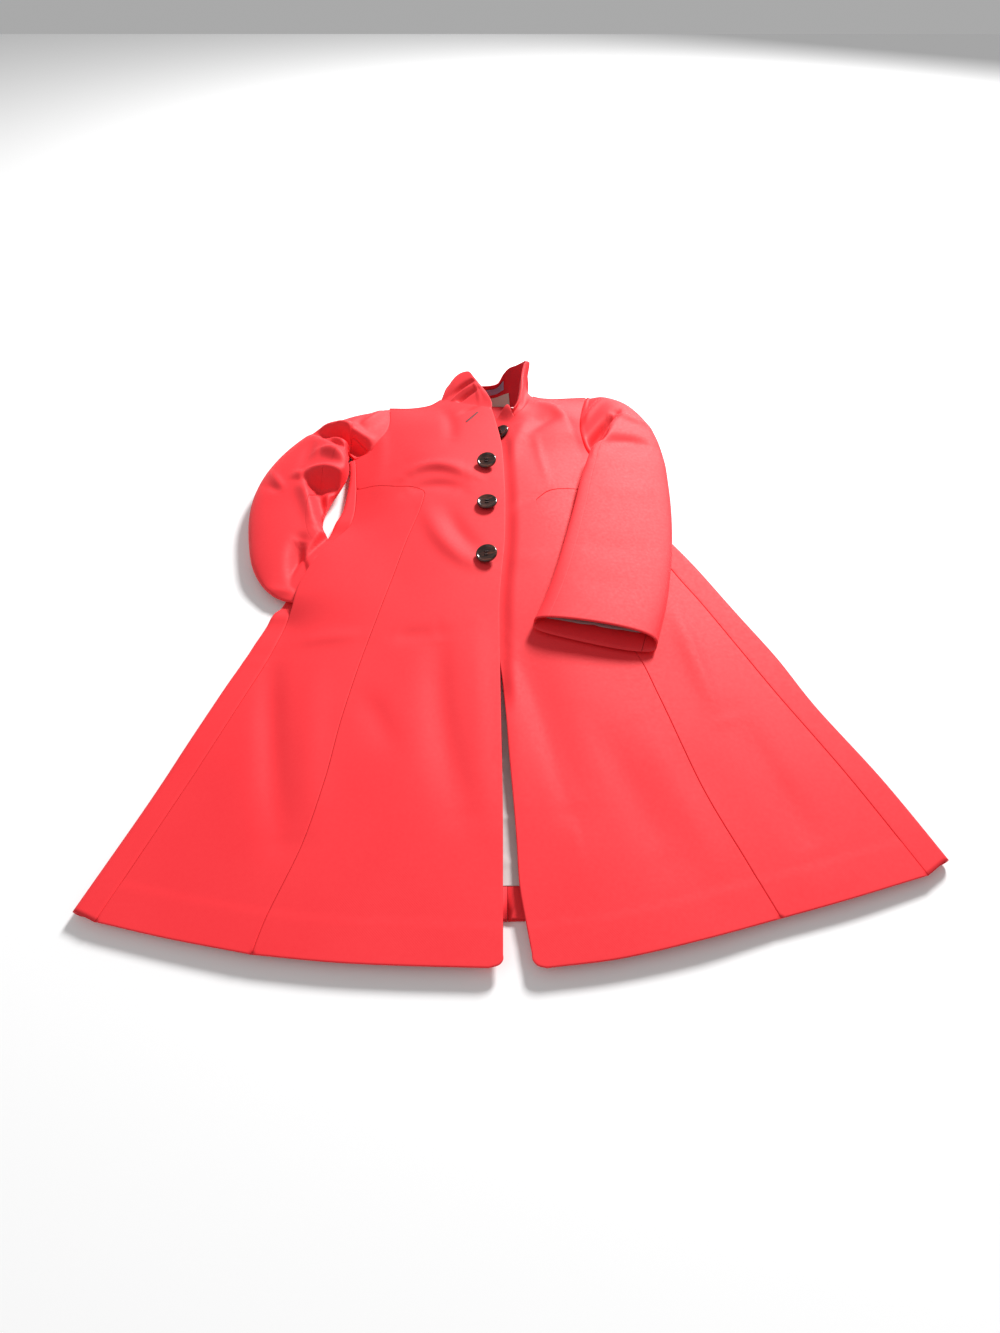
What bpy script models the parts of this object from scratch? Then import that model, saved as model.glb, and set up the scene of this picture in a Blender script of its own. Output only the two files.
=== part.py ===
"""A women's funnel neck coat, laid flat on its back on a floor, front up.

Metres, +Z up. X runs across the coat, Y from the hem to the collar. The wearer's right is at -X.
While the pieces are made, x = 0 is near the centre front and y = 0 is the front hem. At the end
the whole coat moves so that the origin is at the bottom centre of its box.
Every cloth piece is a closed wall. Plan curves give its outline and height posts give its form.
"""
import math

import bpy
import numpy as np
from mathutils import Matrix, Vector
from mathutils.geometry import delaunay_2d_cdt

# Driving sizes
CLOTH = 0.0022           # wall of the bonded wool crepe
COLLAR_CLOTH = 0.0030    # the collar is cloth and facing together
LINING = 0.0010          # satin, with the air behind it
SEAM_GAP = 0.0003        # between two pieces that are sewn together
LAYER_GAP = 0.0005       # between a flat layer and the one on it
BUTTON_DIAMETER = 0.029
BUTTON_THICK = 0.0046
SHANK_LENGTH = 0.0022
SHANK_RADIUS = 0.0022
LOOP = dict(left=-0.036, right=0.0065, low=0.52, high=0.72)     # on the back collar: x, and shares
LABEL = dict(left=-0.0160, right=0.0145, low=0.10, high=0.46)   # of the way up it
TRIM_THICK = 0.0009

# How finely the walls are faceted
EDGE_STEP = 0.038
FIELD_STEP = 0.040
ARM_STEP = 0.010

# Outlines in plan, each from the hem towards the collar, as (x, y)
FRONT_EDGE_RIGHT = [
    (0.003, 0.012), (0.003, 0.061), (0.003, 0.165), (0.001, 0.290), (0.000, 0.378), (0.000, 0.442),
    (0.003, 0.494), (0.007, 0.550), (0.008, 0.621), (0.007, 0.678), (0.004, 0.755), (0.001, 0.783),
    (-0.004, 0.816), (-0.0135, 0.868),
]
FRONT_EDGE_LEFT = [
    (0.028, 0.012), (0.024, 0.036), (0.018, 0.075), (0.016, 0.118), (0.0135, 0.160), (0.0095, 0.217),
    (0.0065, 0.268), (0.0025, 0.320), (-0.003, 0.370), (-0.009, 0.430), (-0.020, 0.490), (-0.034, 0.540),
    (-0.040, 0.610), (-0.041, 0.680), (-0.040, 0.740), (-0.036, 0.790), (-0.028, 0.832),
    (-0.012, 0.860),
]
NECK_FLAP_LEFT = [(-0.012, 0.860), (0.000, 0.870), (0.008, 0.874), (0.0145, 0.872), (0.019, 0.862),
                  (0.0235, 0.853)]
NECKLINE_LEFT = [(0.0235, 0.853), (0.036, 0.866), (0.046, 0.890), (0.052, 0.908), (0.056, 0.921)]
NECKLINE_RIGHT = [(-0.0135, 0.868), (-0.033, 0.877), (-0.055, 0.888), (-0.078, 0.903),
                  (-0.1005, 0.9205)]
SHOULDER_RIGHT = [(-0.1005, 0.9205), (-0.115, 0.907), (-0.130, 0.902), (-0.160, 0.899),
                  (-0.186, 0.900)]
SHOULDER_LEFT = [(0.056, 0.921), (0.068, 0.918), (0.088, 0.921), (0.112, 0.926), (0.146, 0.927)]
ARMHOLE_RIGHT = [(-0.186, 0.900), (-0.181, 0.862), (-0.182, 0.832), (-0.191, 0.806),
                 (-0.205, 0.781), (-0.228, 0.768)]
ARMHOLE_LEFT = [(0.146, 0.927), (0.138, 0.895), (0.131, 0.850), (0.131, 0.810), (0.138, 0.775),
                (0.152, 0.748), (0.168, 0.738)]
SIDE_SEAM_RIGHT = [
    (-0.370, 0.041), (-0.338, 0.145), (-0.314, 0.225), (-0.279, 0.356), (-0.2645, 0.437),
]
POCKET_MOUTH_RIGHT = [(-0.2645, 0.437), (-0.2605, 0.476), (-0.253, 0.510), (-0.241, 0.542),
                      (-0.226, 0.575), (-0.214, 0.605)]
WAIST_RIGHT = [(-0.214, 0.605), (-0.212, 0.640), (-0.216, 0.690)]
CHEST_SIDE_RIGHT = [(-0.216, 0.690), (-0.222, 0.730), (-0.228, 0.768)]
SIDE_SEAM_LEFT = [(0.408, 0.085), (0.366, 0.193), (0.321, 0.296), (0.291, 0.370), (0.258, 0.451),
                  (0.234, 0.504), (0.196, 0.600), (0.178, 0.655), (0.173, 0.676)]
CHEST_SIDE_LEFT = [(0.173, 0.676), (0.169, 0.706), (0.168, 0.738)]
PRINCESS_RIGHT = [
    (-0.220, 0.0115), (-0.213, 0.048), (-0.194, 0.116), (-0.183, 0.189), (-0.177, 0.264),
    (-0.166, 0.349), (-0.152, 0.425), (-0.140, 0.487), (-0.127, 0.556), (-0.113, 0.618),
    (-0.109, 0.652),
]
UNDERBUST_RIGHT = [(-0.109, 0.652), (-0.113, 0.664), (-0.126, 0.671), (-0.152, 0.675),
                   (-0.184, 0.685), (-0.216, 0.690)]
PRINCESS_LEFT = [
    (0.257, 0.0435), (0.237, 0.099), (0.210, 0.177), (0.182, 0.292), (0.164, 0.359),
    (0.130, 0.430), (0.100, 0.500), (0.074, 0.560), (0.056, 0.610), (0.0515, 0.636),
]
UNDERBUST_LEFT = [(0.0515, 0.636), (0.069, 0.655), (0.092, 0.664), (0.130, 0.670),
                  (0.173, 0.676)]
HEM_FRONT_RIGHT = [(-0.220, 0.0115), (-0.150, 0.005), (-0.089, 0.002), (-0.010, 0.000)]
HEM_SIDE_RIGHT = [(-0.370, 0.041), (-0.300, 0.026), (-0.220, 0.0115)]
HEM_FRONT_LEFT = [(0.041, 0.000), (0.107, 0.008), (0.182, 0.024), (0.257, 0.0435)]
HEM_SIDE_LEFT = [(0.257, 0.0435), (0.328, 0.062), (0.408, 0.085)]

# The line on the floor where the back turns up, just inside the coat's outline
FOLD_RIGHT = [
    (-0.391, 0.050), (-0.354, 0.170), (-0.334, 0.244), (-0.298, 0.377), (-0.277, 0.456),
    (-0.258, 0.530), (-0.237, 0.600), (-0.226, 0.640), (-0.225, 0.690), (-0.227, 0.730),
    (-0.233, 0.764),
]
FOLD_LEFT = [
    (0.431, 0.100), (0.397, 0.190), (0.355, 0.283), (0.329, 0.357), (0.297, 0.431), (0.261, 0.516),
    (0.233, 0.573), (0.203, 0.630), (0.187, 0.680), (0.176, 0.734),
]
BACK_CENTRE = [(0.007, 0.045), (0.000, 0.330), (-0.009, 0.650), (-0.018, 0.945)]
BACK_HEM_RIGHT = [(0.007, 0.045), (-0.150, 0.040), (-0.300, 0.042), (-0.391, 0.050)]
BACK_HEM_LEFT = [(0.007, 0.045), (0.150, 0.050), (0.300, 0.070), (0.431, 0.100)]
BACK_NECK_RIGHT = [(-0.1005, 0.9205), (-0.086, 0.935), (-0.050, 0.943), (-0.018, 0.945)]
BACK_NECK_LEFT = [(-0.018, 0.945), (0.015, 0.945), (0.040, 0.937), (0.056, 0.921)]
HEM_TURNUP = 0.0310      # height of the inner hem that shows in the front opening
POCKET_BAND = (0.428, 0.612)
POCKET_STRIP_TOP = 0.0070  # the back seam lies this low there, under the sleeve

# Height posts of the outer face of the fronts, as (x, y, z): both fronts, then each one's own
POSTS_BOTH = [
    (-0.396, 0.052, 0.0105), (-0.300, 0.028, 0.0115), (-0.220, 0.012, 0.0125),
    (-0.110, 0.002, 0.0130), (0.000, 0.000, 0.0130), (0.110, 0.008, 0.0130),
    (0.190, 0.027, 0.0140), (0.257, 0.044, 0.0125), (0.330, 0.062, 0.0130),
    (0.436, 0.100, 0.0105), (-0.352, 0.200, 0.0105), (-0.270, 0.200, 0.0150),
    (-0.182, 0.190, 0.0140), (-0.090, 0.200, 0.0175), (0.002, 0.200, 0.0165),
    (0.110, 0.200, 0.0185), (0.206, 0.190, 0.0150), (0.290, 0.200, 0.0165),
    (0.385, 0.220, 0.0110), (-0.298, 0.380, 0.0105), (-0.235, 0.380, 0.0160),
    (-0.161, 0.372, 0.0175), (-0.080, 0.380, 0.0225), (0.000, 0.380, 0.0225),
    (0.085, 0.380, 0.0220), (0.158, 0.372, 0.0185), (0.225, 0.380, 0.0185),
    (0.302, 0.400, 0.0110), (0.000, 0.500, 0.0305), (0.080, 0.500, 0.0300),
    (0.150, 0.500, 0.0250), (0.236, 0.520, 0.0125), (-0.140, 0.490, 0.0255),
    (-0.070, 0.500, 0.0300), (0.000, 0.600, 0.0370), (0.075, 0.600, 0.0355),
    (0.140, 0.600, 0.0250), (0.196, 0.620, 0.0125), (-0.128, 0.585, 0.0310),
    (-0.070, 0.600, 0.0360), (0.000, 0.680, 0.0415), (0.060, 0.690, 0.0400),
    (0.115, 0.690, 0.0310), (0.172, 0.700, 0.0140), (-0.120, 0.672, 0.0350),
    (-0.060, 0.680, 0.0400), (-0.180, 0.686, 0.0255), (-0.219, 0.690, 0.0130),
    (0.000, 0.760, 0.0425),
]
POSTS_RIGHT = [
    (-0.268, 0.416, 0.0115), (-0.2645, 0.437, 0.0180), (-0.2625, 0.455, 0.0225),
    (-0.258, 0.480, 0.0240), (-0.243, 0.533, 0.0240), (-0.227, 0.570, 0.0195),
    (-0.213, 0.606, 0.0135), (-0.213, 0.645, 0.0125),
    (-0.226, 0.745, 0.0135), (-0.205, 0.780, 0.0200), (-0.195, 0.720, 0.0215),
    (-0.130, 0.760, 0.0375), (-0.060, 0.760, 0.0420), (-0.187, 0.830, 0.0265),
    (-0.120, 0.840, 0.0370), (-0.060, 0.840, 0.0425), (-0.006, 0.820, 0.0440),
    (-0.0135, 0.868, 0.0455), (-0.184, 0.892, 0.0260), (-0.150, 0.903, 0.0250),
    (-0.118, 0.908, 0.0275), (-0.1005, 0.9235, 0.0295), (-0.078, 0.903, 0.0360),
    (-0.055, 0.888, 0.0410),
]
POSTS_LEFT = [
    (0.050, 0.760, 0.0420), (0.100, 0.755, 0.0365), (0.150, 0.745, 0.0220),
    (0.168, 0.738, 0.0150), (-0.035, 0.770, 0.0350), (-0.004, 0.778, 0.0405),
    (0.009, 0.786, 0.0425), (0.021, 0.802, 0.0440), (0.0275, 0.824, 0.0430),
    (0.004, 0.808, 0.0360), (0.014, 0.818, 0.0385), (-0.010, 0.800, 0.0330),
    (-0.012, 0.822, 0.0300), (0.000, 0.836, 0.0305), (0.010, 0.848, 0.0345),
    (-0.014, 0.856, 0.0320), (0.002, 0.861, 0.0380), (0.0145, 0.869, 0.0445),
    (0.0235, 0.853, 0.0405),
    (0.060, 0.840, 0.0400), (0.046, 0.890, 0.0405), (0.056, 0.924, 0.0350),
    (0.075, 0.890, 0.0400), (0.088, 0.926, 0.0300), (0.112, 0.930, 0.0285),
    (0.150, 0.933, 0.0300), (0.105, 0.860, 0.0430), (0.136, 0.890, 0.0270),
    (0.132, 0.840, 0.0250), (0.134, 0.790, 0.0240), (0.110, 0.800, 0.0420),
]

# Points of the left front where it dips beside its top button
FLAP_DETAIL = [
    (-0.022, 0.775), (-0.006, 0.779), (0.008, 0.786), (0.021, 0.801), (0.028, 0.822),
    (-0.024, 0.797), (-0.008, 0.800), (0.006, 0.806), (0.016, 0.816), (0.020, 0.834),
    (-0.019, 0.818), (-0.004, 0.822), (0.006, 0.830), (0.011, 0.845), (-0.012, 0.838),
    (0.000, 0.846), (0.008, 0.858), (0.003, 0.811),
]

# Folds of the fronts: start, middle and end in plan, height, and the width on either side
FOLDS_RIGHT = [
    dict(path=((-0.150, 0.735), (-0.095, 0.760), (-0.035, 0.700)),
         height=0.0045, left=0.034, right=0.018),
]
FOLDS_LEFT = [
    dict(path=((0.062, 0.905), (0.112, 0.880), (0.121, 0.785)),
         height=0.0050, left=0.012, right=0.026),
]
UNDERLAP_DROP = 0.0056   # how far the left front lies below the right one's outer face
UNDERLAP_BLEND = 0.018

# The collar's rim, in the middle of its cloth. The fronts' collars are grown on, so they start from
# the neckline above. The back one is its own piece, and has its lower edge here as well.
COLLAR_RIGHT = [
    (-0.0319, 0.9260, 0.0505), (-0.0440, 0.9480, 0.0545), (-0.0515, 0.9655, 0.0555),
    (-0.0590, 0.9711, 0.0535), (-0.0690, 0.9719, 0.0495), (-0.0785, 0.9665, 0.0440),
    (-0.0880, 0.9585, 0.0340),
]
COLLAR_LEFT = [
    (0.0225, 0.8640, 0.0475), (0.0315, 0.8830, 0.0530), (0.0370, 0.9140, 0.0600),
    (0.0360, 0.9440, 0.0650), (0.0390, 0.9680, 0.0680), (0.0450, 0.9800, 0.0685),
]
COLLAR_BACK = [
    dict(base=(-0.0985, 0.9290, 0.0235), rim=(-0.0900, 0.9620, 0.0300)),
    dict(base=(-0.0885, 0.9385, 0.0115), rim=(-0.0760, 0.9620, 0.0365)),
    dict(base=(-0.0700, 0.9435, 0.0045), rim=(-0.0560, 0.9600, 0.0375)),
    dict(base=(-0.0450, 0.9470, 0.0024), rim=(-0.0298, 0.9560, 0.0358)),
    dict(base=(-0.0150, 0.9480, 0.0024), rim=(-0.0048, 0.9640, 0.0359)),
    dict(base=(0.0080, 0.9480, 0.0030), rim=(0.0058, 0.9780, 0.0460)),
    dict(base=(0.0270, 0.9450, 0.0065), rim=(0.0158, 0.9850, 0.0531)),
    dict(base=(0.0400, 0.9410, 0.0135), rim=(0.0300, 0.9850, 0.0585)),
    dict(base=(0.0520, 0.9330, 0.0240), rim=(0.0415, 0.9850, 0.0670)),
]
NECK_POINTS = 8
COLLAR_STEPS = 3
COLLAR_BOW = dict(right=0.0030, left=-0.0035, back=0.0045)  # how far a wall bows outwards half way up

# Sleeve sections from the armhole to the cuff: the outer and inner side in plan with the height of
# the middle there, and how far the wall stands above and below that middle
SLEEVE_RIGHT = [
    dict(outer=(-0.206, 0.880, 0.022), inner=(-0.2400, 0.777, 0.022), up=0.017, down=0.018),
    dict(outer=(-0.245, 0.851, 0.026), inner=(-0.2370, 0.755, 0.027), up=0.022, down=0.018),
    dict(outer=(-0.297, 0.813, 0.024), inner=(-0.2300, 0.728, 0.032), up=0.023, down=0.018),
    dict(outer=(-0.336, 0.764, 0.019), inner=(-0.2290, 0.703, 0.031), up=0.021, down=0.018),
    dict(outer=(-0.358, 0.701, 0.016), inner=(-0.2360, 0.682, 0.026), up=0.020, down=0.018),
    dict(outer=(-0.361, 0.633, 0.014), inner=(-0.2480, 0.652, 0.020), up=0.021, down=0.018),
    dict(outer=(-0.348, 0.563, 0.013), inner=(-0.2525, 0.612, 0.020), up=0.019, down=0.017),
    dict(outer=(-0.328, 0.505, 0.0135), inner=(-0.2450, 0.582, 0.0180), up=0.014, down=0.008),
    dict(outer=(-0.296, 0.464, 0.0125), inner=(-0.2240, 0.566, 0.0140), up=0.0060, down=0.0045),
    dict(outer=(-0.257, 0.449, 0.0125), inner=(-0.1980, 0.551, 0.0150), up=0.0048, down=0.0045),
    dict(outer=(-0.222, 0.448, 0.0135), inner=(-0.1740, 0.538, 0.0160), up=0.0048, down=0.0045),
]
SLEEVE_LEFT = [
    dict(outer=(0.174, 0.926, 0.024), inner=(0.166, 0.752, 0.022), up=0.020, down=0.018),
    dict(outer=(0.213, 0.893, 0.027), inner=(0.157, 0.758, 0.032), up=0.020, down=0.020),
    dict(outer=(0.243, 0.828, 0.026), inner=(0.148, 0.755, 0.039), up=0.018, down=0.020),
    dict(outer=(0.253, 0.754, 0.024), inner=(0.1375, 0.743, 0.042), up=0.015, down=0.020),
    dict(outer=(0.251, 0.686, 0.022), inner=(0.119, 0.680, 0.042), up=0.012, down=0.019),
    dict(outer=(0.245, 0.617, 0.021), inner=(0.104, 0.614, 0.041), up=0.011, down=0.017),
    dict(outer=(0.2345, 0.544, 0.020), inner=(0.087, 0.545, 0.038), up=0.012, down=0.015),
    dict(outer=(0.2200, 0.475, 0.021), inner=(0.070, 0.482, 0.034), up=0.015, down=0.012),
    dict(outer=(0.2050, 0.418, 0.022), inner=(0.054, 0.433, 0.031), up=0.019, down=0.010),
    dict(outer=(0.187, 0.363, 0.024), inner=(0.041, 0.398, 0.031), up=0.020, down=0.007),
]
CUFF_SLANT = dict(under=0.011, top=0.009)  # how far the open cuff's two sides lean out and back
FOLDS_SLEEVE_RIGHT = [
    dict(path=((-0.255, 0.812), (-0.230, 0.802), (-0.200, 0.790)),
         height=-0.013, left=0.013, right=0.012),
    dict(path=((-0.310, 0.700), (-0.275, 0.712), (-0.236, 0.716)),
         height=0.009, left=0.020, right=0.012),
    dict(path=((-0.283, 0.665), (-0.262, 0.655), (-0.243, 0.668)),
         height=-0.012, left=0.012, right=0.014),
]
FOLDS_SLEEVE_LEFT = [
    dict(path=((0.137, 0.752), (0.160, 0.785), (0.186, 0.822)),
         height=0.008, left=0.010, right=0.026),
    dict(path=((0.142, 0.790), (0.158, 0.812), (0.176, 0.836)),
         height=-0.006, left=0.012, right=0.010),
]
SLEEVE_CREST = 0.55      # power of a sleeve section's profile: 1 is round, less is flatter on top
SLEEVE_CLEAR = 0.0024    # between a sleeve and what it lies on
SLEEVE_AROUND = 20       # points round a sleeve, from its outer side over the top to the inner side
SLEEVE_SEAM_INSET = (0.0008, 0.0003)  # half the gap at a sleeve seam, at its head and further down
HEAD_ROWS = 6
SLEEVE_SEAMS_RIGHT = (7, 17)  # the points where the two seams of each sleeve run
SLEEVE_SEAMS_LEFT = (8, 18)
CUFF_LINING_INSET = 0.022

# Buttons: where each one lies, and how it leans from its cloth, in degrees about X and Y
BUTTONS = [
    dict(name="button_1", at=(-0.0190, 0.714), lean=(14, -8)),
    dict(name="button_2", at=(-0.0180, 0.622), lean=(0, -3)),
    dict(name="button_3", at=(-0.0165, 0.517), lean=(10, -12)),
    dict(name="button_top", at=(0.0030, 0.8110), lean=(8, 0)),
]

COAT = (0.80, 0.045, 0.060, 1.0)
SATIN = (0.56, 0.53, 0.52, 1.0)
HORN = (0.045, 0.018, 0.012, 1.0)
RIBBON = (0.34, 0.30, 0.36, 1.0)
LABEL_CLOTH = (0.55, 0.50, 0.45, 1.0)


def clear_scene():
    for obj in list(bpy.data.objects):
        bpy.data.objects.remove(obj)


def material(name, colour, roughness):
    made = bpy.data.materials.get(name) or bpy.data.materials.new(name)
    made.use_nodes = True
    shader = made.node_tree.nodes["Principled BSDF"]
    shader.inputs["Base Color"].default_value = colour
    shader.inputs["Roughness"].default_value = roughness
    shader.inputs["Metallic"].default_value = 0.0
    return made


def smooth(t):
    t = np.clip(t, 0.0, 1.0)
    return t * t * (3.0 - 2.0 * t)


def spline(points, steps):
    """A Catmull-Rom curve through the points, with this many steps between each two."""
    p = np.array(points, float)
    ends = np.vstack([2 * p[0] - p[1], p, 2 * p[-1] - p[-2]])
    t = np.linspace(0.0, 1.0, steps, endpoint=False)[:, None]
    runs = []
    for a, b, c, d in zip(ends, ends[1:], ends[2:], ends[3:]):
        runs.append(0.5 * (2 * b + (c - a) * t + (2 * a - 5 * b + 4 * c - d) * t**2
                           + (3 * b - a - 3 * c + d) * t**3))
    return np.vstack(runs + [p[-1:]])


def spaced(points, step):
    """The smooth curve through the points, cut into equal lengths of about this step."""
    fine = spline(points, 12)
    along = np.concatenate([[0.0], np.cumsum(np.linalg.norm(np.diff(fine, axis=0), axis=1))])
    count = max(1, round(along[-1] / step))
    wanted = np.linspace(0.0, along[-1], count + 1)
    return np.stack([np.interp(wanted, along, fine[:, i]) for i in range(fine.shape[1])], axis=1)


def matched(points, count):
    """The smooth curve through the points, as count + 1 points at equal shares of the table's rows."""
    fine = spline(points, 24)
    rows = np.linspace(0.0, len(fine) - 1.0, count + 1)
    return np.stack([np.interp(rows, np.arange(len(fine)), fine[:, i])
                     for i in range(fine.shape[1])], axis=1)


class Heights:
    """A thin plate spline through height posts: the smoothest surface that meets them all."""

    def __init__(self, posts):
        posts = np.array(posts, float)
        self.at, z, n = posts[:, :2], posts[:, 2], len(posts)
        system = np.zeros((n + 3, n + 3))
        system[:n, :n] = self.kernel(self.at[:, None] - self.at[None])
        system[:n, n] = 1.0
        system[:n, n + 1:] = self.at
        system[n:, :n] = system[:n, n:].T
        self.weights = np.linalg.solve(system, np.concatenate([z, np.zeros(3)]))

    @staticmethod
    def kernel(offset):
        square = (offset**2).sum(-1) + 1e-12
        return square * np.log(square)

    def __call__(self, xy):
        xy = np.atleast_2d(xy)
        n = len(self.at)
        return (self.kernel(xy[:, None] - self.at[None]) @ self.weights[:n]
                + self.weights[n] + xy @ self.weights[n + 1:])


def fold_height(xy, folds):
    """What the folds add at each point: a ridge or trough along a bent line, fading at its ends."""
    added = np.zeros(len(xy))
    for fold in folds:
        a, b, c = (np.array(p, float) for p in fold["path"])
        t = np.linspace(0.0, 1.0, 17)[:, None]
        line = (1 - t)**2 * a + 2 * t * (1 - t) * b + t**2 * c
        offset = xy[:, None] - line[None]
        nearest = (offset**2).sum(-1).argmin(1)
        along = np.gradient(line, axis=0)[nearest]
        away = offset[np.arange(len(xy)), nearest]
        turn = along[:, 0] * away[:, 1] - along[:, 1] * away[:, 0]
        width = np.where(turn > 0, fold["left"], fold["right"])
        fade = np.sin(np.pi * np.clip(nearest / 16.0, 0.06, 0.94))**0.5
        added += fold["height"] * fade * np.exp(-(away**2).sum(-1) / width**2)
    return added


SURFACE_RIGHT = Heights(POSTS_BOTH + POSTS_RIGHT)
SURFACE_LEFT = Heights(POSTS_BOTH + POSTS_LEFT)
EDGE_RIGHT_LINE = spline(FRONT_EDGE_RIGHT, 12)


def height_right(xy):
    return SURFACE_RIGHT(xy) + fold_height(xy, FOLDS_RIGHT)


def height_left(xy):
    """The left front, which dips under the right one wherever that covers it."""
    edge = np.interp(xy[:, 1], EDGE_RIGHT_LINE[:, 1], EDGE_RIGHT_LINE[:, 0])
    cover = smooth((edge + UNDERLAP_BLEND - xy[:, 0]) / (UNDERLAP_BLEND - 0.002))
    cover *= smooth((xy[:, 1] - 0.26) / 0.05) * (1.0 - smooth((xy[:, 1] - 0.80) / 0.05))
    return SURFACE_LEFT(xy) + fold_height(xy, FOLDS_LEFT) - UNDERLAP_DROP * cover


def slope(height, xy):
    d = 0.002
    dx = (height(xy + (d, 0)) - height(xy - (d, 0))) / (2 * d)
    dy = (height(xy + (0, d)) - height(xy - (0, d))) / (2 * d)
    return np.sqrt(1.0 + dx**2 + dy**2)


def new_object(name, points, faces, mat):
    mesh = bpy.data.meshes.new(name)
    mesh.from_pydata([tuple(map(float, p)) for p in points], [], faces)
    mesh.materials.append(mat)
    mesh.validate()
    obj = bpy.data.objects.new(name, mesh)
    bpy.context.scene.collection.objects.link(obj)
    for polygon in mesh.polygons:
        polygon.use_smooth = True
    mesh.set_sharp_from_angle(angle=math.radians(50))
    return obj


def outline_of(*curves):
    """Joins curves end to end, each dropping its last point, which the next one starts with."""
    return np.vstack([curve[:-1] for curve in curves])


def inset(outline, distance):
    """Moves each point of a closed, anticlockwise outline inwards."""
    before, after = np.roll(outline, 1, axis=0), np.roll(outline, -1, axis=0)
    along = after - before
    inward = np.stack([-along[:, 1], along[:, 0]], axis=1)
    return outline + distance * inward / np.linalg.norm(inward, axis=1)[:, None]


def field_of(outline, step, detail=()):
    """Triangles that fill an anticlockwise outline, over rows of points this far apart.

    The detail points are kept as well, with no others near them.
    """
    low, high = outline.min(0), outline.max(0)
    inside = []
    rows = max(1, int((high[1] - low[1]) / (step * 0.87)))
    for j in range(1, rows):
        y = low[1] + (high[1] - low[1]) * j / rows
        shift = 0.5 * step * (j % 2)
        columns = int((high[0] - low[0]) / step) + 2
        inside += [(low[0] + shift + step * i, y) for i in range(columns)]
    inside = np.array(inside).reshape(-1, 2)
    if len(inside):
        a, b = outline, np.roll(outline, -1, axis=0)
        crossings = ((a[None, :, 1] > inside[:, None, 1]) != (b[None, :, 1] > inside[:, None, 1])) & (
            inside[:, None, 0] < (b - a)[None, :, 0] * (inside[:, None, 1] - a[None, :, 1])
            / ((b - a)[None, :, 1] + 1e-12) + a[None, :, 0])
        run = b - a
        share = np.clip(((inside[:, None] - a[None]) * run[None]).sum(-1) / (run**2).sum(-1), 0, 1)
        near = np.linalg.norm(inside[:, None] - a[None] - share[..., None] * run[None], axis=-1)
        inside = inside[(crossings.sum(1) % 2 == 1) & (near.min(1) > 0.45 * step)]
    if len(detail):
        detail = np.array(detail)
        apart = np.linalg.norm(inside[:, None] - detail[None], axis=-1).min(1)
        inside = np.vstack([inside[apart > 0.5 * step], detail])
    points = [Vector(p) for p in np.vstack([outline, inside.reshape(-1, 2)])]
    found = delaunay_2d_cdt(points, [], [list(range(len(outline)))], 1, 1e-7)
    xy = np.array([tuple(p) for p in found[0]])
    return xy, [tuple(f) for f in found[2]]


def wall(name, top, bottom, faces, mat):
    """A closed solid between two faces that share their triangles, turned so that it faces out."""
    n = len(top)
    count = {}
    for f in faces:
        for a, b in zip(f, f[1:] + f[:1]):
            count[(a, b)] = count.get((a, b), 0) + 1
    sides = [(b, a, a + n, b + n) for a, b in count if (b, a) not in count]
    under = [tuple(i + n for i in reversed(f)) for f in faces]
    points = np.vstack([top, bottom])
    faces = list(faces) + under + sides
    volume = 0.0
    for f in faces:
        for b, c in zip(f[1:], f[2:]):
            volume += np.dot(points[f[0]], np.cross(points[b], points[c]))
    if volume < 0:
        faces = [tuple(reversed(f)) for f in faces]
    return new_object(name, points, faces, mat)


def sewn(name, patches, mat):
    """One wall from several patches of outer points, inner points and faces, joined where they meet."""
    outer, inner, faces, count = [], [], [], 0
    for patch_outer, patch_inner, patch_faces in patches:
        outer.append(patch_outer)
        inner.append(patch_inner)
        faces += [tuple(i + count for i in f) for f in patch_faces]
        count += len(patch_outer)
    outer, inner = np.vstack(outer), np.vstack(inner)
    first = {}
    index = [first.setdefault(tuple(np.round(p, 5) + 0.0), i) for i, p in enumerate(outer)]
    used = sorted(set(index))
    place = {old: new for new, old in enumerate(used)}
    merged = [tuple(place[index[i]] for i in f) for f in faces]
    return wall(name, outer[used], inner[used], merged, mat)


def panel(name, outline, height, thickness, mat, step=FIELD_STEP, grown=None, detail=()):
    """A cloth panel whose outer face is the height over each point of its outline's inside.

    A collar grown onto it starts from some of the outline's points and leads to its rim.
    """
    outline = inset(outline, 0.5 * SEAM_GAP)
    xy, faces = field_of(outline, step, detail)

    def sides_of(at):
        z = height(at)
        drop = thickness * np.minimum(slope(height, at), 2.5)
        return np.column_stack([at, z]), np.column_stack([at, z - drop])

    top, bottom = sides_of(xy)
    patches = [(top, bottom, faces)]
    if grown:
        patches.append(grown_collar(*sides_of(outline[grown["points"]]), **grown["form"]))
    return sewn(name, patches, mat)


def grid_faces(rows, columns, offset=0):
    """The quads of a grid of points, stored row by row."""
    return [(offset + r * columns + c, offset + r * columns + c + 1,
             offset + (r + 1) * columns + c + 1, offset + (r + 1) * columns + c)
            for r in range(rows - 1) for c in range(columns - 1)]


def shell(name, outer, inner, mat):
    """A closed solid between two grids of points of the same size."""
    faces = grid_faces(*outer.shape[:2])
    return wall(name, outer.reshape(-1, 3), inner.reshape(-1, 3), faces, mat)


# Body panels

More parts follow.
